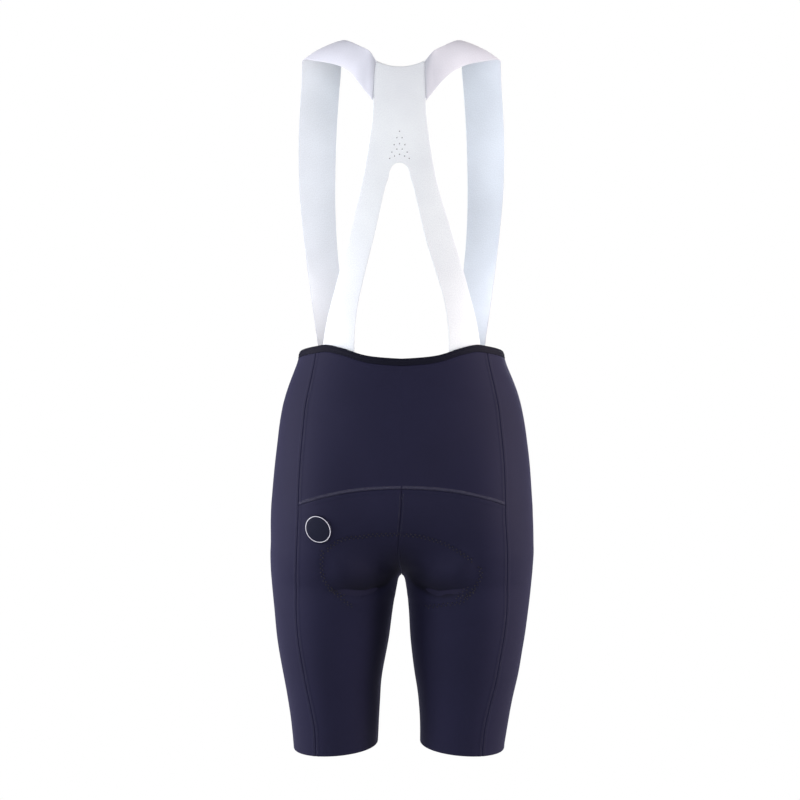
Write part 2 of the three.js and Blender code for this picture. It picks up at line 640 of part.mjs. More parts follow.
// The round patch on the wearer's left seat, lying on the cloth
const PATCH = { x: 103.5, z: -630.5, lift: 0.4, wall: 1, spokes: 28 };
const PATCH_RINGS = [0, 8, 15.4, 17.4];
const PATCH_DEPTH = 20;
function patchOnSeat() {
  const centre = faceOn(PATCH.x, PATCH.z, 1);
  const out = outward(centre);
  const level = new THREE.Vector3(0, 0, 1).cross(out).normalize();
  const up = out.clone().cross(level);
  const grid = PATCH_RINGS.map((radius) => Array.from({ length: PATCH.spokes + 1 }, (_, k) => {
    const angle = 2 * Math.PI * (k % PATCH.spokes) / PATCH.spokes;
    const from = centre.clone()
      .addScaledVector(level, radius * Math.cos(angle))
      .addScaledVector(up, radius * Math.sin(angle))
      .addScaledVector(out, -PATCH_DEPTH);
    return exitPoint(from, out, 2 * PATCH_DEPTH);
  }));
  return { outer: movedGrid(grid, PATCH.lift + PATCH.wall, 0), inner: movedGrid(grid, PATCH.lift, 0) };
}
addPiece('round_patch', wallGeometry([patchOnSeat()]), patchRubber);

// The seat pad inside the shorts. Each row crosses the rise at a length behind (+) or before (-) the
// crotch and reaches out square to it by its half width, over the seat and down inside the thigh.
const PAD = [
  { behind: 121, halfWidth: 64 },
  { behind: 112, halfWidth: 74 },
  { behind: 92, halfWidth: 80 },
  { behind: 66, halfWidth: 76 },
  { behind: 38, halfWidth: 60 },
  { behind: 0, halfWidth: 40 },
  { behind: -38, halfWidth: 38 },
  { behind: -75, halfWidth: 42 },
  { behind: -105, halfWidth: 44 },
  { behind: -126, halfWidth: 38 },
  { behind: -138, halfWidth: 24 },
];
const PAD_ROWS = 20;
const PAD_COLUMNS = 8;
const PAD_CROWDING = 1.8;
const PAD_CLEARANCE = 2.3;
const PAD_EDGE = 2;
const PAD_CROWN = 5;
const PAD_MIDDLE_CLEAR = 0.5;
const PATTERN_RADIUS = 88;
const PATTERN_REACH = 12;

// A pad point: the rise's own point, or one beside it in the leg's unrolled pattern
function padPoint(behind, beside) {
  const here = riseAt(CROTCH_LENGTH - behind);
  if (beside === 0) return here.setX(0);
  const unroll = (p) => {
    const turn = Math.atan2(p.y - AXIS_Y, -AXIS_X);
    const inward = p.y >= AXIS_Y ? Math.PI - turn : -Math.PI - turn;
    return new THREE.Vector2(inward * PATTERN_RADIUS, p.z);
  };
  const ahead = unroll(riseAt(CROTCH_LENGTH - behind - PATTERN_REACH));
  const astern = unroll(riseAt(CROTCH_LENGTH - behind + PATTERN_REACH));
  const run = ahead.sub(astern).normalize();
  const place = unroll(here).add(new THREE.Vector2(run.y, -run.x).multiplyScalar(beside));
  return skin(Math.PI - place.x / PATTERN_RADIUS, place.y, PAD_MIDDLE_CLEAR);
}

// The pad's wall, thickest over its middle and thin all round its edge
function padPatch() {
  const first = PAD[0].behind;
  const last = PAD[PAD.length - 1].behind;
  const shares = Array.from({ length: PAD_COLUMNS + 1 }, (_, c) => (c / PAD_COLUMNS) ** PAD_CROWDING);
  const outer = [];
  const inner = [];
  for (let r = 0; r <= PAD_ROWS; r += 1) {
    const behind = mix(first, last, r / PAD_ROWS);
    const { halfWidth } = read(PAD, 'behind', behind);
    const endwise = Math.abs(2 * r / PAD_ROWS - 1);
    const points = shares.map((share) => padPoint(behind, share * halfWidth));
    outer.push(points.map((p) => lifted(p, -KNIT_WALL - PAD_CLEARANCE)));
    inner.push(points.map((p, c) => {
      const crown = PAD_CROWN * (1 - shares[c] ** 4) * (1 - endwise ** 8);
      return lifted(p, -KNIT_WALL - PAD_CLEARANCE - PAD_EDGE - crown);
    }));
  }
  return { outer, inner };
}
const pad = padPatch();
addPiece('seat_pad', wallGeometry([pad, mirroredPatch(pad)]), padFoam);

export default garment;
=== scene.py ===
import bpy
import numpy as np
from bpy.props import FloatProperty, FloatVectorProperty, PointerProperty
from mathutils import Matrix


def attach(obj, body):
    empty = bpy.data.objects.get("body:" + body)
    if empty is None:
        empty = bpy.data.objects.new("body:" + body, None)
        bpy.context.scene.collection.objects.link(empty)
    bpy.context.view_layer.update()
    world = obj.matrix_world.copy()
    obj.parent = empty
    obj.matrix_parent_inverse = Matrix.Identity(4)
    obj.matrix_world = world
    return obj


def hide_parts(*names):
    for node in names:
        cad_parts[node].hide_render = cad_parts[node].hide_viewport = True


# Cycling bib shorts, filled out as if worn with nobody in them. Every length below is in
# millimetres, in the part's own frame: +Z up, the wearer's left at +X, the back at +Y.
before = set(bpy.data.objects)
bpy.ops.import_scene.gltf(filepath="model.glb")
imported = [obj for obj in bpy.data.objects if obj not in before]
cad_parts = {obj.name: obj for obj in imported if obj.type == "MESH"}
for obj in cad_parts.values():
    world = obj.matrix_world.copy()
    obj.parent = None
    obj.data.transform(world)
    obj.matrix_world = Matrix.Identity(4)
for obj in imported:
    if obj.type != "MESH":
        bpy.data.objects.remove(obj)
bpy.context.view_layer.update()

bl_info = {
    "name": "Cycling Bib Shorts",
    "version": (1, 0, 0),
    "blender": (4, 5, 0),
    "location": "3D View > Sidebar > Bib Shorts",
    "description": "Knit shorts with a seat pad, a white yoke and shoulder straps",
    "category": "Add Mesh",
}

MM = 0.001


def table(names, rows):
    """Rows of numbers as a dictionary from each column's name to its array."""
    return dict(zip(names.split(), np.array(rows, float).T))


# The form below the waist, as in the part's solids: level sections of the trunk and of a thigh
TRUNK = table("z half back front", [
    (0, 150, 50, -60), (-60, 150, 74, -75), (-120, 146, 87, -92), (-200, 140, 93, -105),
    (-280, 134, 88, -104), (-340, 128, 84, -94), (-385, 126.5, 84, -88), (-400, 131, 86, -88),
    (-422, 139.5, 90, -90), (-443, 148, 94, -93), (-464, 154.5, 98, -95), (-506, 161.5, 106, -97),
    (-548, 165, 112, -97), (-600, 166, 116, -94),
])
THIGH = table("z centre half back front", [
    (-430, 84, 12, 20, -16), (-500, 84, 50, 66, -58), (-560, 84, 73, 96, -78),
    (-620, 87, 82, 109, -86), (-660, 88, 83.5, 108, -87), (-688, 87.5, 82.3, 101, -85),
    (-706, 87.5, 80.5, 94, -84), (-740, 88, 76, 89, -81), (-783, 88, 71.5, 82, -75),
    (-846, 88, 61, 71, -64), (-905, 86.5, 55.5, 63, -54), (-940, 86, 53.5, 60, -50),
])
TRUNK_FLOOR, TRUNK_CAP = -600, 84
TRUNK_SQUARENESS, THIGH_SQUARENESS = 2.35, 2.05
BLEND, CROTCH_ROUNDING = 22, 4
AXIS_X, AXIS_Y, FAR = 86, 8, 260
HALVINGS, SLOPE_STEP = 26, 0.5

# Heights round the waist's top edge, and how far to the side the long back seam runs
WAIST = table("turn z", [
    (140, -419), (119, -414.5), (100, -405), (81, -400), (62, -401.5), (30, -404.5), (0, -407),
    (-45, -408.5), (-90, -411), (-140, -417.5),
])
SIDE_SEAM = table("z x", [
    (-412, 110.5), (-470, 121.5), (-513, 125.5), (-557, 129), (-602, 131), (-689, 131.5),
    (-732, 130.7), (-772, 128), (-820, 120.6), (-866, 113), (-890, 109.6), (-925, 109),
])
SIDE_SEAM_TOP, SIDE_SEAM_FARTHEST = -410, np.radians(100)
CENTRE_TURN = np.radians(140)
SEAT_SEAM_ROW, CROTCH_ROW, HEM_ROW = 8, 17, 28
COLUMN_CROWDING, LEG_ROW_CROWDING = 1.3, 1.25
SEAT_SEAM_CENTRE, SEAT_SEAM_SIDE, SEAT_SEAM_BEND = -580.5, -602, 1.8
CROTCH_ROW_SIDE = -688
HEM_LEVEL, HEM_OUTER_DROP, HEM_BACK_DROP = -917, 3.5, 3
SEAM_GAP, KNIT_WALL, BAND_HEIGHT = 0.04, 1.2, 9


def mix(a, b, share):
    """The value a share of the way from a to b."""
    return a + (b - a) * share


def smooth(low, high, value):
    """0 below low, 1 above high, and 3s^2 - 2s^3 of the share s between them."""
    s = np.clip((value - low) / (high - low), 0, 1)
    return s * s * (3 - 2 * s)


def read(rows, along, at):
    """Every column at a place between its rows, by cubic pieces whose slope at a row is that of the
    chord between its two neighbours."""
    key = rows[along]
    order = np.sign(key[1] - key[0])
    at = np.asarray(at, float)
    i = np.clip(np.searchsorted(order * key, order * at, side="left") - 1, 0, len(key) - 2)
    span = key[i + 1] - key[i]
    s = np.clip((at - key[i]) / span, 0, 1)
    out = {}
    for name, value in rows.items():
        chord = np.diff(value) / np.diff(key)
        middle = (value[2:] - value[:-2]) / (key[2:] - key[:-2])
        slope = np.concatenate([chord[:1], middle, chord[-1:]])
        out[name] = ((2 * s ** 3 - 3 * s ** 2 + 1) * value[i]
                     + (s ** 3 - 2 * s ** 2 + s) * span * slope[i]
                     + (3 * s ** 2 - 2 * s ** 3) * value[i + 1]
                     + (s ** 3 - s ** 2) * span * slope[i + 1])
    return out


def section(row, x, y, n, sunk=0):
    """The rounded square (|x/a|^n + |y/b|^n + sunk^n)^(1/n) - 1 of a row, and its b."""
    depth, middle = (row["back"] - row["front"]) / 2, (row["back"] + row["front"]) / 2
    total = np.abs(x / row["half"]) ** n + np.abs((y - middle) / depth) ** n + sunk ** n
    return total ** (1 / n) - 1, depth


def form(p):
    """Below zero inside the garment. Trunk: a rounded square |x/a|^n + |y/b|^n = 1 at each
    level, closing like a bowl under its floor. Thighs: the same round their own axes. The lower
    of the two, less a quarter of the blend where they are nearly equal, melts them together."""
    x, y, z = p[..., 0], p[..., 1], p[..., 2]
    sunk = np.maximum(0, TRUNK_FLOOR - z) / TRUNK_CAP
    row = read(TRUNK, "z", np.maximum(z, TRUNK_FLOOR))
    trunk, depth = section(row, x, y, TRUNK_SQUARENESS, sunk)
    trunk = trunk * depth
    row = read(THIGH, "z", z)
    across = np.hypot(x, CROTCH_ROUNDING) - row["centre"]
    thigh = section(row, across, y, THIGH_SQUARENESS)[0] * row["half"]
    near = np.maximum(BLEND - np.abs(trunk - thigh), 0) / BLEND
    return np.minimum(trunk, thigh) - near * near * BLEND / 4


def unit(v):
    """Vectors divided by their lengths."""
    return v / np.maximum(np.linalg.norm(v, axis=-1, keepdims=True), 1e-9)


def outward(p):
    """The direction straight out of the form: the slope of form() by central differences."""
    steps = np.eye(3) * SLOPE_STEP
    return unit(np.stack([form(p + s) - form(p - s) for s in steps], axis=-1))


def exit_point(start, direction, reach):
    """Where a line from a point inside leaves the form, by halving, within its reach."""
    start, direction = np.broadcast_arrays(start, direction)
    reach = np.broadcast_to(reach, start.shape[:-1]).astype(float)
    inside, outside = np.zeros_like(reach), reach.copy()
    free = form(start + direction * reach[..., None]) <= 0
    for _ in range(HALVINGS):
        middle = (inside + outside) / 2
        within = form(start + direction * middle[..., None]) < 0
        inside = np.where(within, middle, inside)
        outside = np.where(within, outside, middle)
    return start + direction * np.where(free, reach, inside)[..., None]


def run_lengths(points):
    """Lengths along a line of points from its first one."""
    return np.concatenate([[0], np.cumsum(np.linalg.norm(np.diff(points, axis=0), axis=1))])


def stack(x, y, z):
    """Three arrays, or numbers, as one array of points."""
    return np.stack(np.broadcast_arrays(np.asarray(x, float), y, z), axis=-1)


def skin(turn, z, clear):
    """The left half's skin at a turn about the leg's upright axis and a height."""
    direction = stack(np.cos(turn), np.sin(turn), np.zeros_like(z * turn))
    back = np.minimum(direction[..., 0], -1e-9)
    reach = np.where(direction[..., 0] < 0, np.minimum(FAR, (AXIS_X - clear) / -back), FAR)
    return exit_point(stack(AXIS_X, AXIS_Y, z * np.ones_like(turn)), direction, reach)


def face_on(x, z, side):
    """A point of the form straight behind (+1) or in front (-1) of a place on the front view."""
    x, z = np.broadcast_arrays(np.asarray(x, float), np.asarray(z, float))
    return exit_point(stack(x, AXIS_Y, z), np.array([0.0, side, 0.0]), FAR)


# The rise: the form's middle line, from the back of the waist under the crotch to the front
RISE_TOP, RISE_PIVOT, RISE_STEPS = -395, -610, 400
RISE_LEVELS = np.linspace(RISE_TOP, RISE_PIVOT, RISE_STEPS, endpoint=False)
RISE_ANGLES = np.linspace(0, np.pi, 2 * RISE_STEPS + 1)
RISE = np.concatenate([
    face_on(0, RISE_LEVELS, 1),
    exit_point(np.array([0.0, AXIS_Y, RISE_PIVOT]),
               stack(0, np.cos(RISE_ANGLES), -np.sin(RISE_ANGLES)), FAR),
    face_on(0, RISE_LEVELS, -1)[::-1],
])
RISE_LENGTHS = run_lengths(RISE)
CROTCH_LENGTH = RISE_LENGTHS[2 * RISE_STEPS]


def rise_at(length):
    """Points of the rise at lengths along it."""
    return stack(0, *(np.interp(length, RISE_LENGTHS, RISE[:, i]) for i in (1, 2)))


def rise_length_at(z, side):
    """The length at which the rise passes a height on the side named back or front."""
    if side == "back":
        return np.interp(-z, -RISE[:RISE_STEPS, 2], RISE_LENGTHS[:RISE_STEPS])
    return np.interp(-z, -RISE[::-1][:RISE_STEPS, 2], RISE_LENGTHS[::-1][:RISE_STEPS])


CROTCH_Z = rise_at(CROTCH_LENGTH)[2]


def waist_z(turn):
    """Height of the waist's top edge at a turn."""
    return read(WAIST, "turn", np.degrees(turn))["z"]


def panel_top_z(turn):
    """Height of the panels' top edge, under the band."""
    return waist_z(turn) - BAND_HEIGHT - SEAM_GAP


def hem_z(turn):
    """Height of the hem, a little lower outside and behind."""
    return HEM_LEVEL - HEM_OUTER_DROP * np.cos(turn) - HEM_BACK_DROP * np.sin(turn)


def seam_turn(z):
    """The turn at which the long back seam passes a height, by halving."""
    z = np.asarray(z, float)
    x = read(SIDE_SEAM, "z", z)["x"]
    near, far = np.zeros_like(z), np.full_like(z, SIDE_SEAM_FARTHEST)
    for _ in range(HALVINGS):
        middle = (near + far) / 2
        beyond = skin(middle, z, 0)[..., 0] > x
        near, far = np.where(beyond, middle, near), np.where(beyond, far, middle)
    return near


def leg_share(row):
    """How far down the leg a row under the crotch lies."""
    return np.clip((row - CROTCH_ROW) / (HEM_ROW - CROTCH_ROW), 0, 1) ** LEG_ROW_CROWDING


def side_row(row):
    """Turn and height at which each row crosses the long back seam."""
    top = panel_top_z(seam_turn(SIDE_SEAM_TOP))
    z = mix(top, SEAT_SEAM_SIDE, row / SEAT_SEAM_ROW)
    low = mix(SEAT_SEAM_SIDE, CROTCH_ROW_SIDE, (row - SEAT_SEAM_ROW) / (CROTCH_ROW - SEAT_SEAM_ROW))
    leg = mix(CROTCH_ROW_SIDE, hem_z(seam_turn(HEM_LEVEL)), leg_share(row))
    z = np.where(row > CROTCH_ROW, leg, np.where(row > SEAT_SEAM_ROW, low, z))
    return seam_turn(z), z


def middle_row(row, side):
    """Turn, height and depth at which each row meets the middle plane or the inseam."""
    sign = 1 if side == "back" else -1
    first = SEAT_SEAM_ROW if side == "back" else 0
    start_z = SEAT_SEAM_CENTRE if side == "back" else panel_top_z(-CENTRE_TURN)
    start = rise_length_at(start_z, side)
    length = mix(start, CROTCH_LENGTH, np.clip((row - first) / (CROTCH_ROW - first), 0, 1))
    if side == "back":
        above = mix(panel_top_z(CENTRE_TURN), SEAT_SEAM_CENTRE, row / SEAT_SEAM_ROW)
        length = np.where(row < first, rise_length_at(above, side), length)
    point = rise_at(length)
    turn = sign * np.abs(np.arctan2(sign * (point[:, 1] - AXIS_Y), -AXIS_X))
    leg = row > CROTCH_ROW
    z = np.where(leg, mix(CROTCH_Z, hem_z(np.pi), leg_share(row)), point[:, 2])
    return np.where(leg, sign * np.pi, turn), z, point[:, 1]


def panel_grid(side, rows, columns, joined=False):
    """Points of the skin over one panel of the left half. Each row runs from the middle to the
    long back seam, and its height bends between the waist, the seat seam and the hem."""
    rows, shares = rows[:, None], columns[None, :] ** COLUMN_CROWDING
    sign = 1 if side == "back" else -1
    half, clear = SEAM_GAP / 2, 0 if joined else SEAM_GAP / 2
    turn_m, z_m, y_m = (value[:, None] for value in middle_row(rows[:, 0], side))
    turn_s, z_s = (value[:, None] for value in side_row(rows[:, 0]))
    radius = np.hypot(*np.moveaxis(skin(turn_s, z_s, 0)[..., :2] - (AXIS_X, AXIS_Y), -1, 0))
    seam_edge = turn_s + sign * half / radius
    inseam_edge = turn_m - np.sign(turn_m) * half / AXIS_X * (rows >= CROTCH_ROW)
    turn = mix(inseam_edge, seam_edge, shares)
    if side == "back":
        bend = shares ** SEAT_SEAM_BEND
        low = np.maximum(rows, SEAT_SEAM_ROW)[:, 0]
        low_z = mix(middle_row(low, side)[1][:, None], side_row(low)[1][:, None], bend)
        high_z = mix(panel_top_z(turn), low_z, rows / SEAT_SEAM_ROW)
        body = np.where(rows < SEAT_SEAM_ROW, high_z, low_z)
        leg = mix(mix(CROTCH_Z, CROTCH_ROW_SIDE, bend), hem_z(turn), leg_share(rows))
        seat = half if joined else -half
        body = body + seat * (rows == SEAT_SEAM_ROW)
    else:
        straight = mix(z_m, z_s, shares)
        top = mix(middle_row(np.zeros(1), side)[1], side_row(np.zeros(1))[1], shares)
        body = straight + (panel_top_z(turn) - top) * np.clip(1 - rows / SEAT_SEAM_ROW, 0, 1)
        leg = mix(mix(CROTCH_Z, CROTCH_ROW_SIDE, shares), hem_z(turn), leg_share(rows))
    z = np.where(rows > CROTCH_ROW, leg, body)
    grid = skin(turn, z, clear)
    above = rows[:, 0] <= CROTCH_ROW
    y = np.where(rows[:, 0] == CROTCH_ROW, AXIS_Y + sign * half, y_m[:, 0])
    grid[above, 0] = stack(clear, y, z[:, 0])[above]
    return grid


def runs(grid, axis):
    """Lengths along the grid from its first line, and the whole length, both in millimetres."""
    step = np.linalg.norm(np.diff(grid, axis=axis), axis=-1)
    start = np.zeros_like(np.take(step, [0], axis))
    from_start = np.concatenate([start, np.cumsum(step, axis)], axis)
    return from_start, np.take(from_start, [-1], axis)


# Meshes


def colour(code):
    """An sRGB hex colour as linear red, green, blue and alpha."""
    srgb = np.array([int(code[i:i + 2], 16) for i in (1, 3, 5)]) / 255
    return (*np.where(srgb <= 0.04045, srgb / 12.92, ((srgb + 0.055) / 1.055) ** 2.4), 1.0)


# How the worn shorts settle away from the even form, in millimetres: how far the outer and the
# inner edges of the left and the right half move outward at each height
SETTLE = table("z outer_left inner_left outer_right inner_right", [
    (-395, -1.5, 0, -1.5, 0), (-425, -4.6, 0, -4.2, 0), (-455, -4.2, 0, -2.8, 0),
    (-480, -2.4, 0, -1.0, 0), (-535, -2.2, 0, 0, 0), (-615, -4.0, 0, -3.2, 0),
    (-655, -1.6, 0, 0, 0), (-690, 0.6, 0, 1, 0), (-735, 2.0, 0, 1.8, 1.6),
    (-790, 2.4, -1.4, 0.2, 4.2), (-828, 2.2, -1.6, 0.2, 6.6), (-860, 1.2, 0, -2.4, 6.0),
    (-890, 0.2, 0, -4.6, 5.6), (-915, 0, 0, -6.6, 6.8),
])
# The heights or widths between which each move sets in
SETTLE_HALF, SETTLE_TOP, LEGS_PART = 168, (-365, -405), (-700, -740)
LEG_INNER, LEG_WIDTH = 18, 110
YOKE_DRIFT, YOKE_SIDES, YOKE_UPPER, YOKE_LOWER = 2.6, (45, 80), (-20, -60), (-260, -360)
HEM_DROP, HEM_ZONE = 2.6, (-870, -912)
CROTCH_DROP, CROTCH_DROP_Z, CROTCH_DROP_REACH = 3.4, -691, 15


def settled(points):
    """Points moved as the worn shorts settle: the edges' moves are blended from the middle of each
    half outward, the yoke stands a little to the left, and the crotch and the hems lie lower."""
    x, y, z = np.moveaxis(points, -1, 0)
    edge = read(SETTLE, "z", np.clip(z, SETTLE["z"].min(), SETTLE["z"].max()))
    left = x > 0
    outer = np.where(left, edge["outer_left"], edge["outer_right"])
    inner = np.where(left, edge["inner_left"], edge["inner_right"])
    share = np.clip(np.abs(x) / SETTLE_HALF, 0, 1)
    across_leg = np.clip((np.abs(x) - LEG_INNER) / LEG_WIDTH, 0, 1)
    out = mix(share ** 2 * outer, mix(-inner, outer, across_leg), smooth(*LEGS_PART, z))
    yoke = (1 - smooth(*YOKE_SIDES, np.abs(x))) * smooth(*YOKE_UPPER, z)
    yoke = yoke * (1 - smooth(*YOKE_LOWER, z)) * (y > 0)
    move = np.sign(x) * out * smooth(*SETTLE_TOP, z) + YOKE_DRIFT * yoke
    crotch = bell(x, CROTCH_DROP_REACH) * bell(z - CROTCH_DROP_Z, CROTCH_DROP_REACH)
    return points + stack(move, 0, -HEM_DROP * smooth(*HEM_ZONE, z) - CROTCH_DROP * crotch)


def put_mesh(name, points, faces, uv=None, finishes=(), finish_of=None, drift=True):
    """An object from points in millimetres and faces, shaded smooth, with its UV map in
    millimetres. The points settle with the worn shorts unless told otherwise."""
    mesh = bpy.data.meshes.new(name)
    points = settled(points) if drift else points
    mesh.from_pydata((points * MM).tolist(), [], faces.tolist())
    if uv is not None:
        layer = mesh.uv_layers.new(name="cloth")
        layer.data.foreach_set("uv", uv[faces.ravel()].ravel())
    for finish in finishes:
        mesh.materials.append(finish)
    if finish_of is not None:
        mesh.polygons.foreach_set("material_index", finish_of.astype(np.int32))
    mesh.polygons.foreach_set("use_smooth", np.ones(len(faces), bool))
    mesh.update()
    obj = bpy.data.objects.new(name, mesh)
    bpy.context.scene.collection.objects.link(obj)
    return obj


def grid_faces(height, width, around=False):
    """Four-cornered faces of a grid of points, numbered row by row, closed round if asked."""
    across = np.arange(width if around else width - 1)
    r, c = np.meshgrid(np.arange(height - 1), across, indexing="ij")
    d = (c + 1) % width
    return np.stack([r * width + c, r * width + d, (r + 1) * width + d, (r + 1) * width + c],
                    axis=-1).reshape(-1, 4)


def triangles(cells):
    """Each four-cornered face as two triangles."""
    return np.concatenate([cells[:, [0, 1, 2]], cells[:, [0, 2, 3]]])


def with_mirror(outer, inner, uv):
    """A patch of the left half, and its mirror image."""
    return [(outer, inner, uv), tuple((part * turn)[:, ::-1] for part, turn in (
        (outer, (-1, 1, 1)), (inner, (-1, 1, 1)), (uv, (-1, 1))))]


def wall(patches):
    """A closed wall over patches of (outer grid, inner grid, UV grid) that may share outer points.
    Shared points are joined, each cell is two triangles, and every free edge gets a rim between
    the outer and the inner face. Returns points, faces, UV and a 1 on the faces that look in."""
    outer, inner, uv = (np.concatenate([p[i].reshape(-1, p[i].shape[-1]) for p in patches])
                        for i in range(3))
    starts = np.cumsum([0] + [p[0].shape[0] * p[0].shape[1] for p in patches])
    cells = np.concatenate([grid_faces(*p[0].shape[:2]) + start
                            for p, start in zip(patches, starts)])
    _, first, number = np.unique(np.round(outer, 3) + 0.0, axis=0, return_index=True,
                                 return_inverse=True)
    cells = number.reshape(-1)[cells]
    tri = triangles(cells)
    whole = (tri[:, 0] != tri[:, 1]) & (tri[:, 1] != tri[:, 2]) & (tri[:, 2] != tri[:, 0])
    tri = tri[whole]
    count = len(first)
    edges = np.concatenate([tri[:, [0, 1]], tri[:, [1, 2]], tri[:, [2, 0]]])
    there, back = edges[:, 0] * count + edges[:, 1], edges[:, 1] * count + edges[:, 0]
    a, b = edges[~np.isin(there, back)].T
    rim = np.concatenate([np.stack([b, a, a + count], -1),
                          np.stack([b, a + count, b + count], -1)])
    faces = np.concatenate([tri, tri[:, ::-1] + count, rim])
    side = np.repeat([0, 1, 0], [len(tri), len(tri), len(rim)])
    points = np.concatenate([outer[first], inner[first]])
    corner = [points[faces[:, i]] for i in range(3)]
    if np.einsum("ij,ij->", corner[0], np.cross(corner[1], corner[2])) < 0:
        faces = faces[:, ::-1]
    return points, faces, np.concatenate([uv[first]] * 2), side


# How steeply a tube's radius grows from its ends, and the share of it at the very end
TUBE_GROWTH, TUBE_END = 0.9, 0.35


def tubes(paths, radius, sides=6):
    """Closed round tubes along many paths of the same count, N x K x 3. Each section is the
    circle centre + r (cos t u + sin t v), where u and v are square to the path, and r grows in a
    straight line from a part of its size at both ends."""
    n, k = paths.shape[:2]
    along = unit(np.gradient(paths, axis=1))
    helper = np.where(np.abs(along[..., 2:]) < 0.8, np.array([0.0, 0, 1]), np.array([1.0, 0, 0]))
    u = unit(np.cross(along, helper))
    v = np.cross(along, u)
    t = np.linspace(0, 2 * np.pi, sides, endpoint=False)
    s = np.linspace(0, 1, k)
    r = radius * np.clip(np.minimum(s, 1 - s) * k * TUBE_GROWTH + TUBE_END, 0, 1)
    ring = (np.cos(t)[:, None] * u[:, :, None] + np.sin(t)[:, None] * v[:, :, None])
    points = paths[:, :, None] + ring * r[None, :, None, None]
    body = grid_faces(k, sides, around=True)
    first = np.arange(sides)[::-1]
    last = np.arange(sides) + (k - 1) * sides
    caps = [np.array([c[[0, i, i + 1]]]) for c in (first, last) for i in range(1, sides - 1)]
    one = np.concatenate([triangles(body)] + caps)
    faces = (one[None] + (np.arange(n) * k * sides)[:, None, None]).reshape(-1, 3)
    flat = points.reshape(-1, 3)
    return flat, flipped_out(flat, faces, len(one))


def flipped_out(points, faces, per_item):
    """Turns every face over if the first closed item has a negative volume."""
    a, b, c = (points[faces[:per_item, i]] for i in range(3))
    centre = points[np.unique(faces[:per_item])].mean(axis=0)
    volume = np.einsum("ij,ij->", a - centre, np.cross(b - centre, c - centre))
    return faces if volume > 0 else faces[:, ::-1]


def joined(parts):
    """Several (points, faces) as one."""
    points, faces, start = [], [], 0
    for p, f in parts:
        points.append(p)
        faces.append(f + start)
        start += len(p)
    return np.concatenate(points), np.concatenate(faces)


def mirrored_mesh(points, faces):
    """Points with x turned over and faces turned round, so that they still look outward."""
    return points * (-1, 1, 1), faces[:, ::-1]


# Materials


def node(tree, kind, settings=None, **links):
    """Adds one node with its settings, and links its inputs by name. A link is (node, output
    name), and a plain value sets the socket."""
    made = tree.nodes.new(kind)
    for name, value in (settings or {}).items():
        setattr(made, name, value)
    for name, value in links.items():
        wanted = name.replace("_", " ")
        socket = next(s for s in made.inputs
                      if s.enabled and (s.name.replace("-", " ") == wanted or s.identifier == name))
        if isinstance(value, tuple) and isinstance(value[0], bpy.types.Node):
            tree.links.new(value[0].outputs[value[1]], socket)
        else:
            socket.default_value = value
    return made


# Noise bumps of the dye in a metre, a wave node's scale for bands 1 unit apart, and how far noise
# bends the bands
DYE_DRIFT, WAVE_SCALE, WAVE_WANDER = 9.0, 2 * np.pi / 20, 0.6
# The (place, shade) stops of the ramps of a dyed knit and of a grained surface
DYE_SHADES, GRAIN_SHADES = [(0.36, 0.9), (0.64, 1.1)], [(0, 0.86), (1, 1.12)]
# Courses stand this share as high as wales, and the strengths of the bumps
COURSE_SHARE, RIB_STRENGTH, NAP_STRENGTH, GRAIN_STRENGTH = 0.6, 0.35, 0.25, 0.4
FIBRE_IOR, SHEEN_SPREAD, GLOSS_SPREAD = 1.46, 0.38, 0.08


def blank_material(name):
    """A new material and its emptied tree of nodes."""
    material = bpy.data.materials.new(name)
    material.use_nodes = True
    material.node_tree.nodes.clear()
    return material, material.node_tree


def shade_ramp(tree, driver, base, stops):
    """A ramp between two shades of a colour."""
    ramp = node(tree, "ShaderNodeValToRGB", Fac=driver)
    for element, (position, shade) in zip(ramp.color_ramp.elements, stops):
        element.position = position
        element.color = (*np.minimum(np.array(base) * shade, 1), 1)
    return ramp


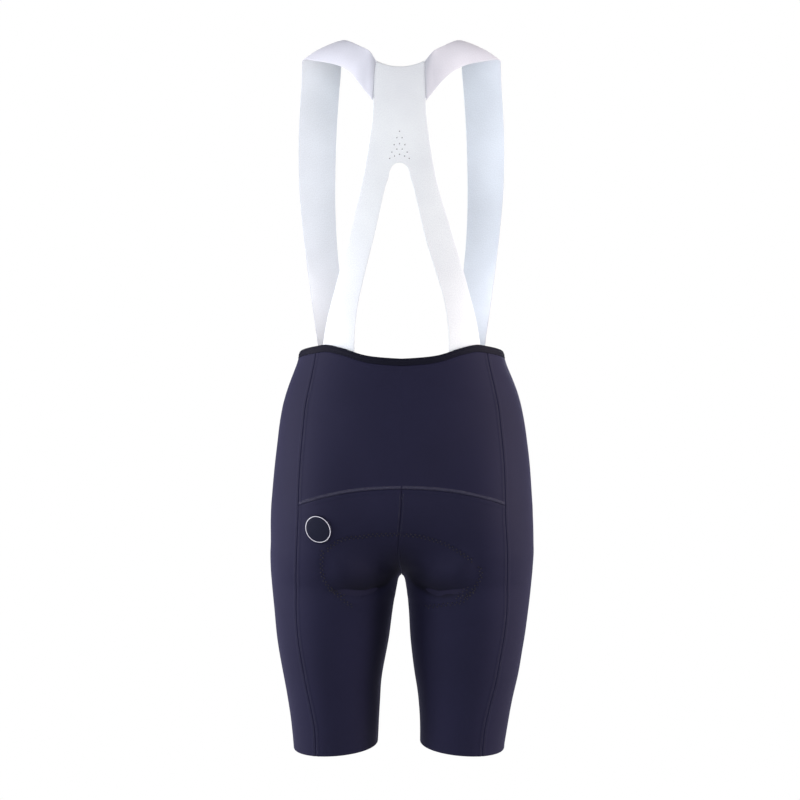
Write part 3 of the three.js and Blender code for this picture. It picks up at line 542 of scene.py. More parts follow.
def knit_material(name, base, wale, course, relief, rough, sheen, sheen_tint, specular, speckle,
                  with_painted_shade=False):
    """A fine warp knit. The UV map is in millimetres. Wales are soft waves across it and courses
    finer ones along it, both broken by noise, which gives the matt, faintly ribbed face of a
    polyamide and elastane knit. Two shades drift into each other as a stretched dyed knit does."""
    material, tree = blank_material(name)
    place = node(tree, "ShaderNodeUVMap", {"uv_map": "cloth"})
    solid = node(tree, "ShaderNodeTexCoord")
    broad = node(tree, "ShaderNodeTexNoise", Vector=(solid, "Object"), Scale=DYE_DRIFT, Detail=3.0)
    fine = node(tree, "ShaderNodeTexNoise", Vector=(place, "UV"), Scale=speckle, Detail=2.0)
    blend = node(tree, "ShaderNodeMath", {"operation": "ADD"}, Value=(broad, "Fac"),
                 Value_001=(fine, "Fac"))
    half = node(tree, "ShaderNodeMath", {"operation": "MULTIPLY"}, Value=(blend, "Value"),
                Value_001=0.5)
    dye = shade_ramp(tree, (half, "Value"), base, DYE_SHADES)
    ribs = []
    for direction, spacing in (("X", wale), ("Y", course)):
        bands = {"wave_type": "BANDS", "bands_direction": direction, "wave_profile": "SIN"}
        ribs.append(node(tree, "ShaderNodeTexWave", bands, Vector=(place, "UV"),
                         Scale=WAVE_SCALE / spacing, Distortion=WAVE_WANDER, Detail=1.0))
    rib = node(tree, "ShaderNodeMath", {"operation": "MULTIPLY_ADD"}, Value=(ribs[1], "Fac"),
               Value_001=COURSE_SHARE, Value_002=(ribs[0], "Fac"))
    bump = node(tree, "ShaderNodeBump", Height=(rib, "Value"), Strength=RIB_STRENGTH,
                Distance=relief * MM)
    soft = node(tree, "ShaderNodeBump", Height=(fine, "Fac"), Strength=NAP_STRENGTH,
                Distance=relief * MM, Normal=(bump, "Normal"))
    # Painted shade: the colour's value is scaled by the mesh's painted shade factor
    if with_painted_shade:
        strength = node(tree, "ShaderNodeAttribute", {"attribute_name": "relaxed"})
        dye = node(tree, "ShaderNodeHueSaturation", Color=(dye, "Color"), Value=(strength, "Fac"))
    shader = node(tree, "ShaderNodeBsdfPrincipled", Base_Color=(dye, "Color"),
                  Normal=(soft, "Normal"), Roughness=rough, Specular_IOR_Level=specular,
                  IOR=FIBRE_IOR, Sheen_Weight=sheen, Sheen_Roughness=SHEEN_SPREAD,
                  Sheen_Tint=colour(sheen_tint))
    node(tree, "ShaderNodeOutputMaterial", Surface=(shader, "BSDF"))
    return material


def plain_material(name, base, rough, specular, grain, grain_scale, sheen):
    """A moulded, cut or twisted surface of one colour with a fine grain in its gloss and height."""
    material, tree = blank_material(name)
    solid = node(tree, "ShaderNodeTexCoord")
    noise = node(tree, "ShaderNodeTexNoise", Vector=(solid, "Object"), Scale=grain_scale,
                 Detail=3.0)
    gloss = node(tree, "ShaderNodeMapRange", Value=(noise, "Fac"), To_Min=rough - GLOSS_SPREAD,
                 To_Max=rough + GLOSS_SPREAD)
    shade = shade_ramp(tree, (noise, "Fac"), base, GRAIN_SHADES)
    bump = node(tree, "ShaderNodeBump", Height=(noise, "Fac"), Strength=GRAIN_STRENGTH,
                Distance=grain * MM)
    shader = node(tree, "ShaderNodeBsdfPrincipled", Base_Color=(shade, "Color"),
                  Roughness=(gloss, "Result"), Normal=(bump, "Normal"), Specular_IOR_Level=specular,
                  Sheen_Weight=sheen)
    node(tree, "ShaderNodeOutputMaterial", Surface=(shader, "BSDF"))
    return material


# Each finish by the make of the real surface: the name of its colour setting, and then the values
# in knit_material's or plain_material's order, with lengths in millimetres
KNITS = {
    # 28-gauge polyamide and elastane warp knit, matt with a faint bloom where it turns away. Its
    # wales are 0.9 mm apart and are drawn 1.3 mm apart, so that they show
    # Its last value, True, paints shade into its colour under the seat's folds and down the inner
    # thighs
    "navy warp knit": ("knit", 1.3, 1.0, 0.10, 0.74, 0.24, "#A9AAD6", 0.18, 0.9, True),
    # The same knit's wrong side: rougher and a shade lighter
    "navy knit inside": ("knit_inside", 1.3, 1.0, 0.12, 0.80, 0.20, "#8F90C0", 0.15, 0.9),
    # Woven elastic edge, which takes the dye more deeply than the knit does
    "navy elastic binding": ("binding", 0.9, 1.4, 0.14, 0.70, 0.06, "#7C7EA8", 0.14, 1.1),
    # Fine white stretch knit with a clean, even face
    "white strap knit": ("strap", 1.1, 0.9, 0.02, 0.75, 0.12, "#FFFFFF", 0.25, 0.8),
    # The same knit in the shoulder straps, set a shade greyer and cooler
    "white shoulder knit": ("shoulder", 1.1, 0.9, 0.02, 0.75, 0.12, "#FFFFFF", 0.25, 0.8),
    # Its wrong side, greyer than its face: painted shade for the inner faces of the yoke and straps
    "white strap knit inside": ("strap_inside", 1.1, 0.9, 0.03, 0.85, 0.10, "#FFFFFF", 0.15, 0.8),
    # Brushed microfibre over foam, with a short soft nap
    "brushed pad fleece": ("fleece", 1.6, 1.3, 0.20, 0.92, 0.50, "#9A9AB8", 0.10, 1.6),
}
PLAINS = {
    # Textured nylon threads, which lie a shade lighter or darker than the knit
    "navy sewing thread": ("thread", 0.55, 0.3, 0.05, 900.0, 0.3),
    "cover thread": ("cover_thread", 0.50, 0.3, 0.05, 900.0, 0.3),
    "quilting thread": ("quilt_thread", 0.60, 0.2, 0.05, 900.0, 0.2),
    "white sewing thread": ("strap_thread", 0.60, 0.2, 0.05, 900.0, 0.2),
    # Soft moulded elastomer with a satin skin, and the pale ring printed on it
    "moulded rubber": ("rubber", 0.60, 0.14, 0.03, 500.0, 0.0),
    "printed ring": ("ring", 0.50, 0.4, 0.02, 500.0, 0.0),
    # The shaded bottom of a punched hole
    "perforation shade": ("hole", 0.90, 0.05, 0.0, 900.0, 0.0),
}


def finish_named(name):
    """A finish by its name, made once. Its colour is the panel's own colour property."""
    if name in bpy.data.materials:
        return bpy.data.materials[name]
    make, sizes = (knit_material, KNITS) if name in KNITS else (plain_material, PLAINS)
    return make(name, getattr(bpy.context.scene.bib_colours, sizes[name][0]), *sizes[name][1:])


# The line of the fold under each cheek. Shade is painted into the knit's colour above it
SHADE_LINE = table("x z", [
    (-87, -710), (-52, -714), (-32, -711), (-18, -704), (0, -684), (10, -693), (20, -702.5),
    (46, -711), (75, -707), (90, -705)])
SHADE_RISE, SHADE_DROP, SHADE_LEFT, SHADE_RIGHT = 20, 4.2, 0.76, 0.66
SHADE_MIDDLE, SHADE_MIDDLE_Z, SHADE_MIDDLE_REACH = 0.28, -690, 24
SHADE_SIDES, DEEPEST_PAINTED_SHADE = (46, 100), 0.86
# Painted shade down the inner thighs: its span from the middle, lean, heights, and depth left and
# right
INNER_THIGH, INNER_LEAN, INNER_LEAN_Z, INNER_ZONE = (22, 46), 0.06, -740, (-690, -740)
INNER_LEFT, INNER_RIGHT = 0.42, 0.04


def relaxed(points):
    """Strength of the knit's colour by place: 1 where it is stretched, and less where it lies
    relaxed and dense. Above each fold of the seat it recovers as 1 - exp(-height), and below it
    at once. Down the inner thighs it is an S-curve of the distance from the middle."""
    x, y, z = np.moveaxis(points, -1, 0)
    over = z - np.interp(x, SHADE_LINE["x"], SHADE_LINE["z"])
    fold = np.where(over > 0, np.exp(-np.abs(over) / SHADE_RISE), bell(over, SHADE_DROP))
    fold = fold * np.where(x > 0, SHADE_LEFT, SHADE_RIGHT)
    fold = fold * (1 - smooth(*SHADE_SIDES, np.abs(x)))
    fold = fold + SHADE_MIDDLE * bell(np.hypot(x, z - SHADE_MIDDLE_Z), SHADE_MIDDLE_REACH)
    inner = 1 - smooth(*INNER_THIGH, np.abs(x) + INNER_LEAN * (z - INNER_LEAN_Z))
    inner = inner * smooth(*INNER_ZONE, z) * np.where(x > 0, INNER_LEFT, INNER_RIGHT)
    return 1 - np.clip(fold * smooth(AXIS_Y - 10, AXIS_Y + 30, y) + inner, 0, DEEPEST_PAINTED_SHADE)


# Relief of the shorts: seams, the pad's quilting and the main creases, in millimetres outward


def bell(distance, width):
    """exp(-(d/w)^2): 1 on a line, falling off on both sides."""
    return np.exp(-(distance / width) ** 2)


SEAM_ROLL = 0.55
ALLOWANCE, ALLOWANCE_RISE, ALLOWANCE_FALL = 0.32, (0, 1.2), (3.6, 5.6)
STITCH_PULL, STITCH_ROW, STITCH_ROW_WIDTH = 0.12, 2.6, 0.5


def seam_relief(distance):
    """A sewn edge by its distance from the seam: the cloth rolls down into the seam, stands up
    over the turned-in allowance, and is pulled in a little by the outer stitch row."""
    roll = -SEAM_ROLL * np.exp(-distance / SEAM_ROLL)
    allowance = ALLOWANCE * smooth(*ALLOWANCE_RISE, distance)
    allowance = allowance * (1 - smooth(*ALLOWANCE_FALL, distance))
    return roll + allowance - STITCH_PULL * bell(distance - STITCH_ROW, STITCH_ROW_WIDTH)


def path_points(corners, count):
    """A smooth line through a few (x, z) corners: each coordinate is read along its length."""
    corners = np.array(corners, float)
    length = run_lengths(corners)
    rows = {"s": length, "x": corners[:, 0], "z": corners[:, 1]}
    out = read(rows, "s", np.linspace(0, length[-1], count))
    return np.stack([out["x"], out["z"]], axis=-1)


# Main creases of the worn shorts on the view from behind or in front: the side,
# the corners (x, z) they run through, the width, and the height, below zero for a trough
CREASES = [
    ("back", [(24, -707), (38, -712), (56, -716), (76, -712)], 4.2, -1.2),
    ("back", [(20, -707), (40, -717), (62, -722), (80, -718)], 5.0, 0.4),
    ("back", [(-26, -709), (-40, -715), (-55, -719), (-74, -716)], 4.0, -1.2),
    ("back", [(-22, -710), (-42, -720), (-60, -724), (-78, -721)], 4.8, 0.4),
    ("back", [(60, -760), (76, -752), (96, -750)], 9.0, -0.5),
    ("back", [(-52, -768), (-74, -757), (-100, -754)], 9.0, -0.5),
    ("back", [(-120, -470), (-96, -476), (-70, -474)], 10.0, -0.4),
    ("back", [(118, -482), (92, -489), (66, -486)], 10.0, -0.4),
    ("front", [(14, -668), (36, -648), (64, -622), (100, -596)], 4.6, -1.2),
    ("front", [(18, -680), (44, -660), (72, -636), (104, -612)], 5.0, 0.7),
    ("front", [(-14, -670), (-38, -648), (-66, -624), (-98, -600)], 4.6, -1.1),
    ("front", [(-18, -682), (-46, -661), (-74, -638), (-102, -615)], 5.0, 0.7),
    ("front", [(22, -706), (46, -700), (74, -704)], 5.5, -0.6),
    ("front", [(-24, -708), (-50, -701), (-76, -706)], 5.5, -0.6),
    ("front", [(50, -468), (20, -473), (-24, -471)], 9.0, -0.4),
    ("front", [(-44, -515), (-10, -521), (38, -517)], 10.0, -0.35),
]
CREASE_POINTS, CREASE_SPAN, CREASE_FADE = 24, (0.04, 0.96), 0.6

# The pad's outline as it shows behind: quilting rows (x, z) that dimple the cloth
QUILT_ROWS = [
    [(2, -636.8), (30, -636.9), (54, -640), (70, -641.5), (84, -648), (94, -658)],
    [(98, -656), (99.5, -672), (98, -689), (92.8, -700.5), (79, -714), (67.9, -724), (60, -729)],
    [(-2, -636.8), (-24, -639.3), (-38, -643.4), (-54, -648.6), (-76, -661.2), (-88.9, -670.4)],
    [(-96, -676), (-98.5, -688), (-92, -702), (-76.4, -721.4), (-54, -726.8), (-30.4, -732.6)],
    [(-92, -708), (-80, -714.5), (-66, -717.5)],
    [(-84, -704.5), (-72, -709.5), (-60, -711)],
    [(90, -706), (80, -711), (70, -716)],
]
QUILT_PITCH, QUILT_STEP, QUILT_WIDTH, QUILT_DEPTH = 2.7, 1.3, 1.6, 0.8


def quilt_points():
    """Places of the quilting stitches, evenly spaced along their rows, in turn on either side."""
    out = []
    for row in QUILT_ROWS:
        fine = path_points(row, 200)
        length = run_lengths(fine)
        at = np.arange(QUILT_PITCH / 2, length[-1], QUILT_PITCH)
        along = unit(np.gradient(fine, axis=0))
        zigzag = QUILT_STEP * (1 - 2 * (np.arange(len(at)) % 2))
        x, z, run_x, run_z = (np.interp(at, length, v) for v in (*fine.T, *along.T))
        out.append(np.stack([x - run_z * zigzag, z + run_x * zigzag], axis=-1))
    return np.concatenate(out)


def over_line(points, corners, width):
    """A bell of the distance from a line, as seen face on, which fades toward both of its ends."""
    out = np.zeros(points.shape[:-1])
    place = points[..., [0, 2]]
    line = path_points(corners, CREASE_POINTS)
    low, high = line.min(axis=0) - 3 * width, line.max(axis=0) + 3 * width
    near = np.all((place > low) & (place < high), axis=-1)
    gap = np.linalg.norm(place[near][:, None] - line[None], axis=-1)
    fade = np.sin(np.pi * np.linspace(*CREASE_SPAN, CREASE_POINTS)) ** CREASE_FADE
    out[near] = (bell(gap, width) * fade).max(axis=1)
    return out


def crease_relief(points):
    """The sum of bell-shaped troughs and ridges round each crease's line."""
    behind = points[..., 1] > AXIS_Y
    return sum(height * over_line(points, corners, width) * (behind == (side == "back"))
               for side, corners, width, height in CREASES)


# The fold under each cheek of the seat: the line (|x|, z) it follows, its waves as (height,
# distance above the line, width), and where it sets in and fades out sideways
FOLD = table("x z", [(0, -700), (12, -705), (44, -713), (75, -709), (100, -701)])
FOLD_WAVES = [(5.0, 27, 17), (-2.6, 1, 6), (1.0, -13, 8)]
FOLD_MIDDLE, FOLD_SIDES = (12, 42), (66, 96)


def fold_relief(points):
    """The knit over each cheek swells above the fold, tucks in along it, and swells a little
    again on the thigh below: bells of the height over the fold's line, faded out sideways."""
    x, z = np.abs(points[..., 0]), points[..., 2]
    over = z - np.interp(x, FOLD["x"], FOLD["z"])
    shape = sum(height * bell(over - above, width) for height, above, width in FOLD_WAVES)
    shape = shape * smooth(*FOLD_MIDDLE, x) * (1 - smooth(*FOLD_SIDES, x))
    return shape * (points[..., 1] > AXIS_Y)


# How far the centre-back seam wanders to the left between the cheeks
BEND, BEND_Z, BEND_TALL, BEND_WIDE = 4.4, -652, 34, 40
BEND_END, BEND_BEHIND = (-676, -692), 12


def seam_bend(points):
    """Points of the seat moved sideways with the wandering seam: the product of a bell of the
    height and a bell of the distance from the middle."""
    wander = bell(points[..., 2] - BEND_Z, BEND_TALL) * bell(points[..., 0], BEND_WIDE)
    wander = wander * (1 - smooth(*BEND_END, points[..., 2]))
    wander = wander * (points[..., 1] > AXIS_Y + BEND_BEHIND)
    return points + stack(BEND * wander, 0, 0)


# The box |x|, z that holds the quilting, and the pad's outline as an ellipse with its low swell
QUILT_HALF, QUILT_LOW, QUILT_HIGH = 105, -740, -630
SWELL_HALF, SWELL_Z, SWELL_TALL, SWELL, SWELL_EDGE = 97, -684, 46, 0.5, (0.86, 1.04)


def quilt_relief(points):
    """A small dimple at each quilting stitch, and a low swell inside the pad's outline."""
    out = np.zeros(points.shape[:-1])
    place = points[..., [0, 2]]
    behind = points[..., 1] > AXIS_Y
    spots = quilt_points()
    x, z = np.abs(place[..., 0]), place[..., 1]
    near = behind & (x < QUILT_HALF) & (z > QUILT_LOW) & (z < QUILT_HIGH)
    if near.any():
        gap = np.sqrt(((place[near][:, None] - spots[None]) ** 2).sum(axis=-1).min(axis=1))
        out[near] -= QUILT_DEPTH * bell(gap, QUILT_WIDTH)
    edge = np.hypot(x / SWELL_HALF, (z - SWELL_Z) / SWELL_TALL)
    out += SWELL * (1 - smooth(*SWELL_EDGE, edge)) * behind
    return out


# How deep a stitch dives at its ends, in its thread's radii
STITCH_DIVE, COVER_DIVE = 1.3, 0.6


def read_line(line, run, at):
    """Points or directions of a line at lengths along it."""
    return np.stack([np.interp(at, run, line[:, i]) for i in range(3)], axis=-1)


def stitches(path, normal, shift, lift, length, gap, radius):
    """Lock stitches along a line of points. Each is a short closed tube, laid on the cloth beside
    the seam and sunk at both ends."""
    along = unit(np.gradient(path, axis=0))
    beside = unit(np.cross(normal, along))
    line = path + beside * shift
    run = run_lengths(line)
    starts = np.arange(gap, run[-1] - length, length + gap)
    s = np.linspace(0, 1, 5)
    at = starts[:, None] + length * s[None]
    height = lift - radius * STITCH_DIVE * (2 * s - 1) ** 4
    raised = unit(read_line(normal, run, at)) * height[None, :, None]
    return tubes(read_line(line, run, at) + raised, radius, sides=5)


def cover_stitches(path, normal, low, high, lift, pitch, radius):
    """The cover thread of a flat seam: a zigzag between two lines beside the seam."""
    along = unit(np.gradient(path, axis=0))
    beside = unit(np.cross(normal, along))
    run = run_lengths(path)
    starts = np.arange(0.5, run[-1] - 2 * pitch, pitch)
    s = np.linspace(0, 1, 6)
    height = lift - radius * (2 * s - 1) ** 4 * COVER_DIVE
    parts = []
    for start, share in ((0, s), (0.5, 1 - s)):
        at = starts[:, None] + pitch * (s[None] + start)
        side = unit(read_line(beside, run, at)) * mix(low, high, share)[None, :, None]
        raised = unit(read_line(normal, run, at)) * height[None, :, None]
        parts.append(tubes(read_line(path, run, at) + side + raised, radius, 5))
    return joined(parts)


# The pieces


def on_cloth(obj, node_name=None):
    """Rides on the one body, takes its slot, and stands for a node if one is named."""
    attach(obj, "root")
    if node_name:
        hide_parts(node_name)


def small_piece(name, mesh, finish):
    """A piece without UV that lies on the cloth and stands for no node."""
    obj = put_mesh(name, *mesh, None, [finish_named(finish)])
    on_cloth(obj)
    return obj


# The groove of a middle seam, how much of the relief an edge at the waist has, and the raw hem
MIDDLE_GROOVE, MIDDLE_GROOVE_WIDTH = 0.5, 0.8
WAIST_EDGE_SHARE, HEM_ROUNDING, HEM_ROUNDING_WIDTH = 0.6, 0.45, 0.4


def panel_surface(side, first, last, heights, widths, joined_middle=False):
    """One knit panel of the left half: the skin's grid, its outward directions, its relief by the
    distances from its edges, and its UV lengths."""
    rows = mix(first, last, heights)
    grid = panel_grid(side, rows, widths, joined_middle)
    across, whole_across = runs(grid, 1)
    down, whole_down = runs(grid, 0)
    normal = outward(grid)
    relief = seam_relief(whole_across - across)
    if not joined_middle:
        relief += seam_relief(across) - MIDDLE_GROOVE * np.exp(-across / MIDDLE_GROOVE_WIDTH)
    relief += seam_relief(down) * (1 if first == SEAT_SEAM_ROW else WAIST_EDGE_SHARE)
    if last == SEAT_SEAM_ROW:
        relief += seam_relief(whole_down - down)
    else:
        # The hem is cut raw, so its edge is only rounded
        relief -= HEM_ROUNDING * np.exp(-(whole_down - down) / HEM_ROUNDING_WIDTH)
    uv = np.stack([across - (0 if joined_middle else whole_across / 2), -down], axis=-1)
    return grid, normal, relief, uv


def moved(points, direction, distance, clear=0.0):
    """Points moved along a direction, never across the plane x = clear, on which points stay."""
    out = points + direction * np.broadcast_to(distance, points.shape[:-1])[..., None]
    out[..., 0] = np.where(points[..., 0] <= clear + 1e-6, clear, np.maximum(out[..., 0], clear))
    return out


def knit_object(name, patches, cut):
    """A closed knit shell over its patches, declared as a sheet of its cut."""
    points, faces, uv, side = wall(patches)
    obj = put_mesh(f"{name}_made", points, faces, uv,
                   [finish_named("navy warp knit"), finish_named("navy knit inside")], side)
    # The painted shade factor of each point, which darkens the knit's colour
    strength = obj.data.attributes.new("relaxed", "FLOAT", "POINT")
    strength.data.foreach_set("value", relaxed(points).astype(np.float32))
    on_cloth(obj, name)
    width, length, area = CUTS[cut]


def knit_patch(side, first, last, heights, widths, flip=1, joined_middle=False):
    """One patch of a panel, on the left (flip 1) or the right (flip -1). The creases and the
    quilting are worked out on the side where they lie, because they differ from side to side."""
    grid, normal, relief, uv = panel_surface(side, first, last, heights, widths, joined_middle)
    turned = np.array([flip, 1, 1])
    relief = relief + crease_relief(grid * turned)
    if side == "back" and last == HEM_ROW:
        relief = relief + quilt_relief(grid * turned) + fold_relief(grid)
    clear = 0 if joined_middle else SEAM_GAP / 2
    outer = moved(grid, normal, relief, clear) * turned
    inner = moved(grid, normal, -KNIT_WALL, clear) * turned
    if side == "back" and last == HEM_ROW:
        outer, inner = seam_bend(outer), seam_bend(inner)
    return tuple(grid[:, ::flip] for grid in (outer, inner, uv * (flip, 1)))


def dense_near(bells, count):
    """Shares from 0 to 1, closer together where (place, weight, width) bells say so."""
    s = np.linspace(0, 1, 2001)
    weight = np.ones_like(s)
    for place, height, width in bells:
        weight += height * bell(s - place, width)
    total = np.concatenate([[0], np.cumsum((weight[1:] + weight[:-1]) / 2)])
    return np.interp(np.linspace(0, total[-1], count), total, s)


BACK_WIDTHS = dense_near([(0, 9, 0.03), (1, 9, 0.03), (0.45, 1.2, 0.25)], 120)
BACK_HEIGHTS = dense_near([(0, 7, 0.012), (1, 5, 0.008), (0.3, 2.2, 0.12)], 190)
FRONT_WIDTHS = dense_near([(0, 9, 0.018), (1, 9, 0.018)], 150)
FRONT_HEIGHTS = dense_near([(0, 5, 0.008), (1, 5, 0.006), (0.45, 0.7, 0.2)], 190)
WAIST_WIDTHS = dense_near([(1, 9, 0.03)], 84)
WAIST_HEIGHTS = dense_near([(0, 7, 0.02), (1, 7, 0.02)], 96)


HALVES = [("left", 1), ("right", -1)]
# Cut sizes of the cloth in metres before it is stretched on: width, length and area of the cut
CUTS = {
    "back_waist_panel": (0.243, 0.176, 0.0354),
    "back_seat": (0.165, 0.358, 0.0388),
    "front": (0.330, 0.492, 0.1245),
    "waist_band": (0.650, 0.0115, None),
    "back_yoke": (0.186, 0.348, 0.0219),
    "shoulder_strap": (0.052, 0.518, 0.0222),
}


def make_waist_panel():
    """The panel over the small of the back, one shell from side to side."""
    patches = [knit_patch("back", 0, SEAT_SEAM_ROW, WAIST_HEIGHTS, WAIST_WIDTHS, flip, True)
               for flip in (1, -1)]
    knit_object("back_waist_panel", patches, "back_waist_panel")


def make_leg_panels(kind):
    """The two seat panels or the two fronts, from the left and then the right."""
    side, first = ("back", SEAT_SEAM_ROW) if kind == "back_seat" else ("front", 0)
    lines = (BACK_HEIGHTS, BACK_WIDTHS) if side == "back" else (FRONT_HEIGHTS, FRONT_WIDTHS)
    for name, flip in HALVES:
        patch = knit_patch(side, first, HEM_ROW, *lines, flip)
        knit_object(f"{kind}_{name}", [patch], kind)


# The waist band: a folded elastic edge with a rolled top, a groove and a flat foot
BAND_SECTIONS, BAND_AROUND = 220, 44
BAND_CENTRE_DOWN, BAND_HALF_HEIGHT = 4.55, 4.6
BAND_CENTRE_OUT, BAND_HALF_WALL, BAND_SQUARENESS = -0.15, 1.65, 3.0
BAND_GROOVE_DOWN, BAND_GROOVE_DEPTH, BAND_GROOVE_WIDTH = 6.4, 0.75, 0.7
BAND_ROLL_DOWN, BAND_ROLL_DEPTH, BAND_ROLL_WIDTH, BAND_FOOT_DEPTH = 2.5, 0.5, 0.5, 0.35


def make_waist_band():
    """A closed section carried round the waist's edge. The section is the rounded rectangle
    |u|^(2/n), |v|^(2/n) of an angle, with bell-shaped grooves pressed into its outer face."""
    t = np.linspace(0, 2 * np.pi, BAND_AROUND, endpoint=False)
    power = 2 / BAND_SQUARENESS
    out = np.sign(np.cos(t)) * np.abs(np.cos(t)) ** power * BAND_HALF_WALL + BAND_CENTRE_OUT
    down = BAND_CENTRE_DOWN - np.sign(np.sin(t)) * np.abs(np.sin(t)) ** power * BAND_HALF_HEIGHT
    face = np.clip(np.cos(t), 0, 1) ** 0.5
    out = out - BAND_GROOVE_DEPTH * bell(down - BAND_GROOVE_DOWN, BAND_GROOVE_WIDTH) * face
    out = out - BAND_ROLL_DEPTH * bell(down - BAND_ROLL_DOWN, BAND_ROLL_WIDTH) * face
    out = out - BAND_FOOT_DEPTH * face * smooth(BAND_GROOVE_DOWN, BAND_GROOVE_DOWN + 1, down)
    front = middle_row(np.zeros(1), "front")[0][0]
    back = middle_row(np.zeros(1), "back")[0][0]
    turn = np.linspace(front, back, BAND_SECTIONS)[:, None]
    grid = skin(turn, waist_z(turn) - down, 0)
    grid[[0, -1], :, 0] = 0
    grid = moved(grid, outward(grid), out)
    ring = np.concatenate([grid, (grid * (-1, 1, 1))[-2:0:-1]])
    count = len(ring)
    points = ring.reshape(-1, 3)
    cells = grid_faces(count + 1, BAND_AROUND, around=True) % (count * BAND_AROUND)
    faces = triangles(cells)
    faces = flipped_out(points, faces, len(faces))
    edge = ring[:, 0]
    run = np.cumsum(np.linalg.norm(edge - np.roll(edge, 1, axis=0), axis=-1))
    around = np.cumsum(np.hypot(np.diff(out, append=out[0]), np.diff(down, append=down[0])))
    uv = np.stack(np.broadcast_arrays(run[:, None], around[None]), axis=-1).reshape(-1, 2)
    obj = put_mesh("waist_band_made", points, faces, uv, [finish_named("navy elastic binding")])
    on_cloth(obj, "waist_band")
    width, length, _ = CUTS["waist_band"]


# The yoke and the straps, as in the part's solids
YOKE_EDGE = table("z x", [
    (-38, 31), (-92, 33.4), (-113, 34.3), (-144, 38.2), (-175, 43.2), (-205, 49.8), (-235, 58.4),
    (-265, 67), (-295, 75.8), (-340, 88.8), (-362, 95), (-385, 100), (-412, 104),
])
YOKE_SLOT = table("z x", [
    (-190, 13.1), (-205, 18.1), (-235, 25), (-265, 32), (-295, 40.7), (-340, 53.4), (-362, 57.5),
    (-385, 60), (-412, 60.5),
])
NECK_CENTRE, NECK_SIDE, YOKE_SEAM_END = -46.6, -38, -92.3
ARCH_TOP, LEG_END = -172.5, -412
STRAP_SINK, STRAP_WALL, YOKE_SEAM_GAP = 2.5, 1.0, 0.45
STRAP = table("step neck_x neck_y neck_z arm_x arm_y arm_z crown", [
    (0, 31.6, 62, -38, 34, 77, -92, 0), (1, 39.4, 57, -27, 42.3, 72, -81, 1),
    (2, 46, 50, -21, 54, 63, -65, 1.5), (3, 54, 41, -15.5, 67, 50, -50, 2),
    (4, 64, 28, -8, 84, 34, -38.5, 3), (5, 74, 12, -1.5, 108, 17, -30, 3.5),
    (6, 79, -4, 0, 128, -2, -24, 3.5), (7, 80.5, -24, -8, 131.5, -22, -30, 3.5),
    (8, 81, -46, -28, 133.5, -41, -47, 3), (9, 85, -67, -64, 136.5, -57, -76, 2.5),
    (10, 89, -86, -115, 139.4, -71, -120, 2), (11, 91, -99, -178, 139.3, -82, -180, 1.5),
    (12, 90.3, -102, -228, 135.5, -85, -229, 1.5), (13, 87, -101, -277, 130, -81, -277, 1),
    (14, 80.5, -93, -335, 122.5, -68, -335, 0.5), (15, 74, -84, -385, 116, -54, -385, 0),
    (16, 71, -82, -412, 114, -50, -412, 0),
])
STRAP_SETTLE_FROM, STRAP_SETTLE_TO = -250, -390
STRAP_ROLL, STRAP_END_ROLL, STRAP_PULL = 0.2, 0.3, 0.12
# Ventilation holes over the yoke's arch: distance from the middle and height
HOLES = [(0, -132.7), (3.3, -140.9), (0, -148.6), (6.7, -150), (3.3, -155.6), (9.6, -159.4),
         (0, -162.3), (6.3, -164.4), (12.3, -167.4)]
HOLE_RADIUS, HOLE_DEPTH, HOLE_FLOOR, HOLE_FLOOR_WALL = 0.8, 0.5, 0.04, 0.16
# The soft hollow along each leg of the yoke, where it sets in and where it ends
LEG_HOLLOW, HOLLOW_FROM, HOLLOW_TO = 0.5, (-200, -260), (-380, -400)


def yoke_rows():
    """Slot, edge and height of the yoke's rows from the neckline down: straight rows that ease
    out of the curved neckline, then an arch whose slot opens as a quarter ellipse, then the two
    legs. Also how far each row dips in the middle."""
    neck = np.linspace(0, 1, 30)[:-1]
    chest = np.linspace(YOKE_SEAM_END, ARCH_TOP, 40)[:-1]
    angle = np.linspace(0, np.pi / 2, 26)[:-1]
    arch = ARCH_TOP - (ARCH_TOP - YOKE_SLOT["z"][0]) * (1 - np.cos(angle))
    legs = np.linspace(YOKE_SLOT["z"][0], LEG_END, 110)
    z = np.concatenate([mix(NECK_SIDE, YOKE_SEAM_END, neck), chest, arch, legs])
    slot = np.concatenate([0 * neck, 0 * chest, YOKE_SLOT["x"][0] * np.sin(angle),
                           read(YOKE_SLOT, "z", legs)["x"]])
    dip = np.concatenate([(NECK_CENTRE - NECK_SIDE) * (1 - neck), 0 * chest, 0 * arch, 0 * legs])
    return slot[:, None], read(YOKE_EDGE, "z", z)["x"][:, None], z[:, None], dip[:, None]


def cut_edge(distance, roll=0.28, width=0.5):
    """How far a cut edge rounds in, by its distance from the edge."""
    return -roll * np.exp(-distance / width)


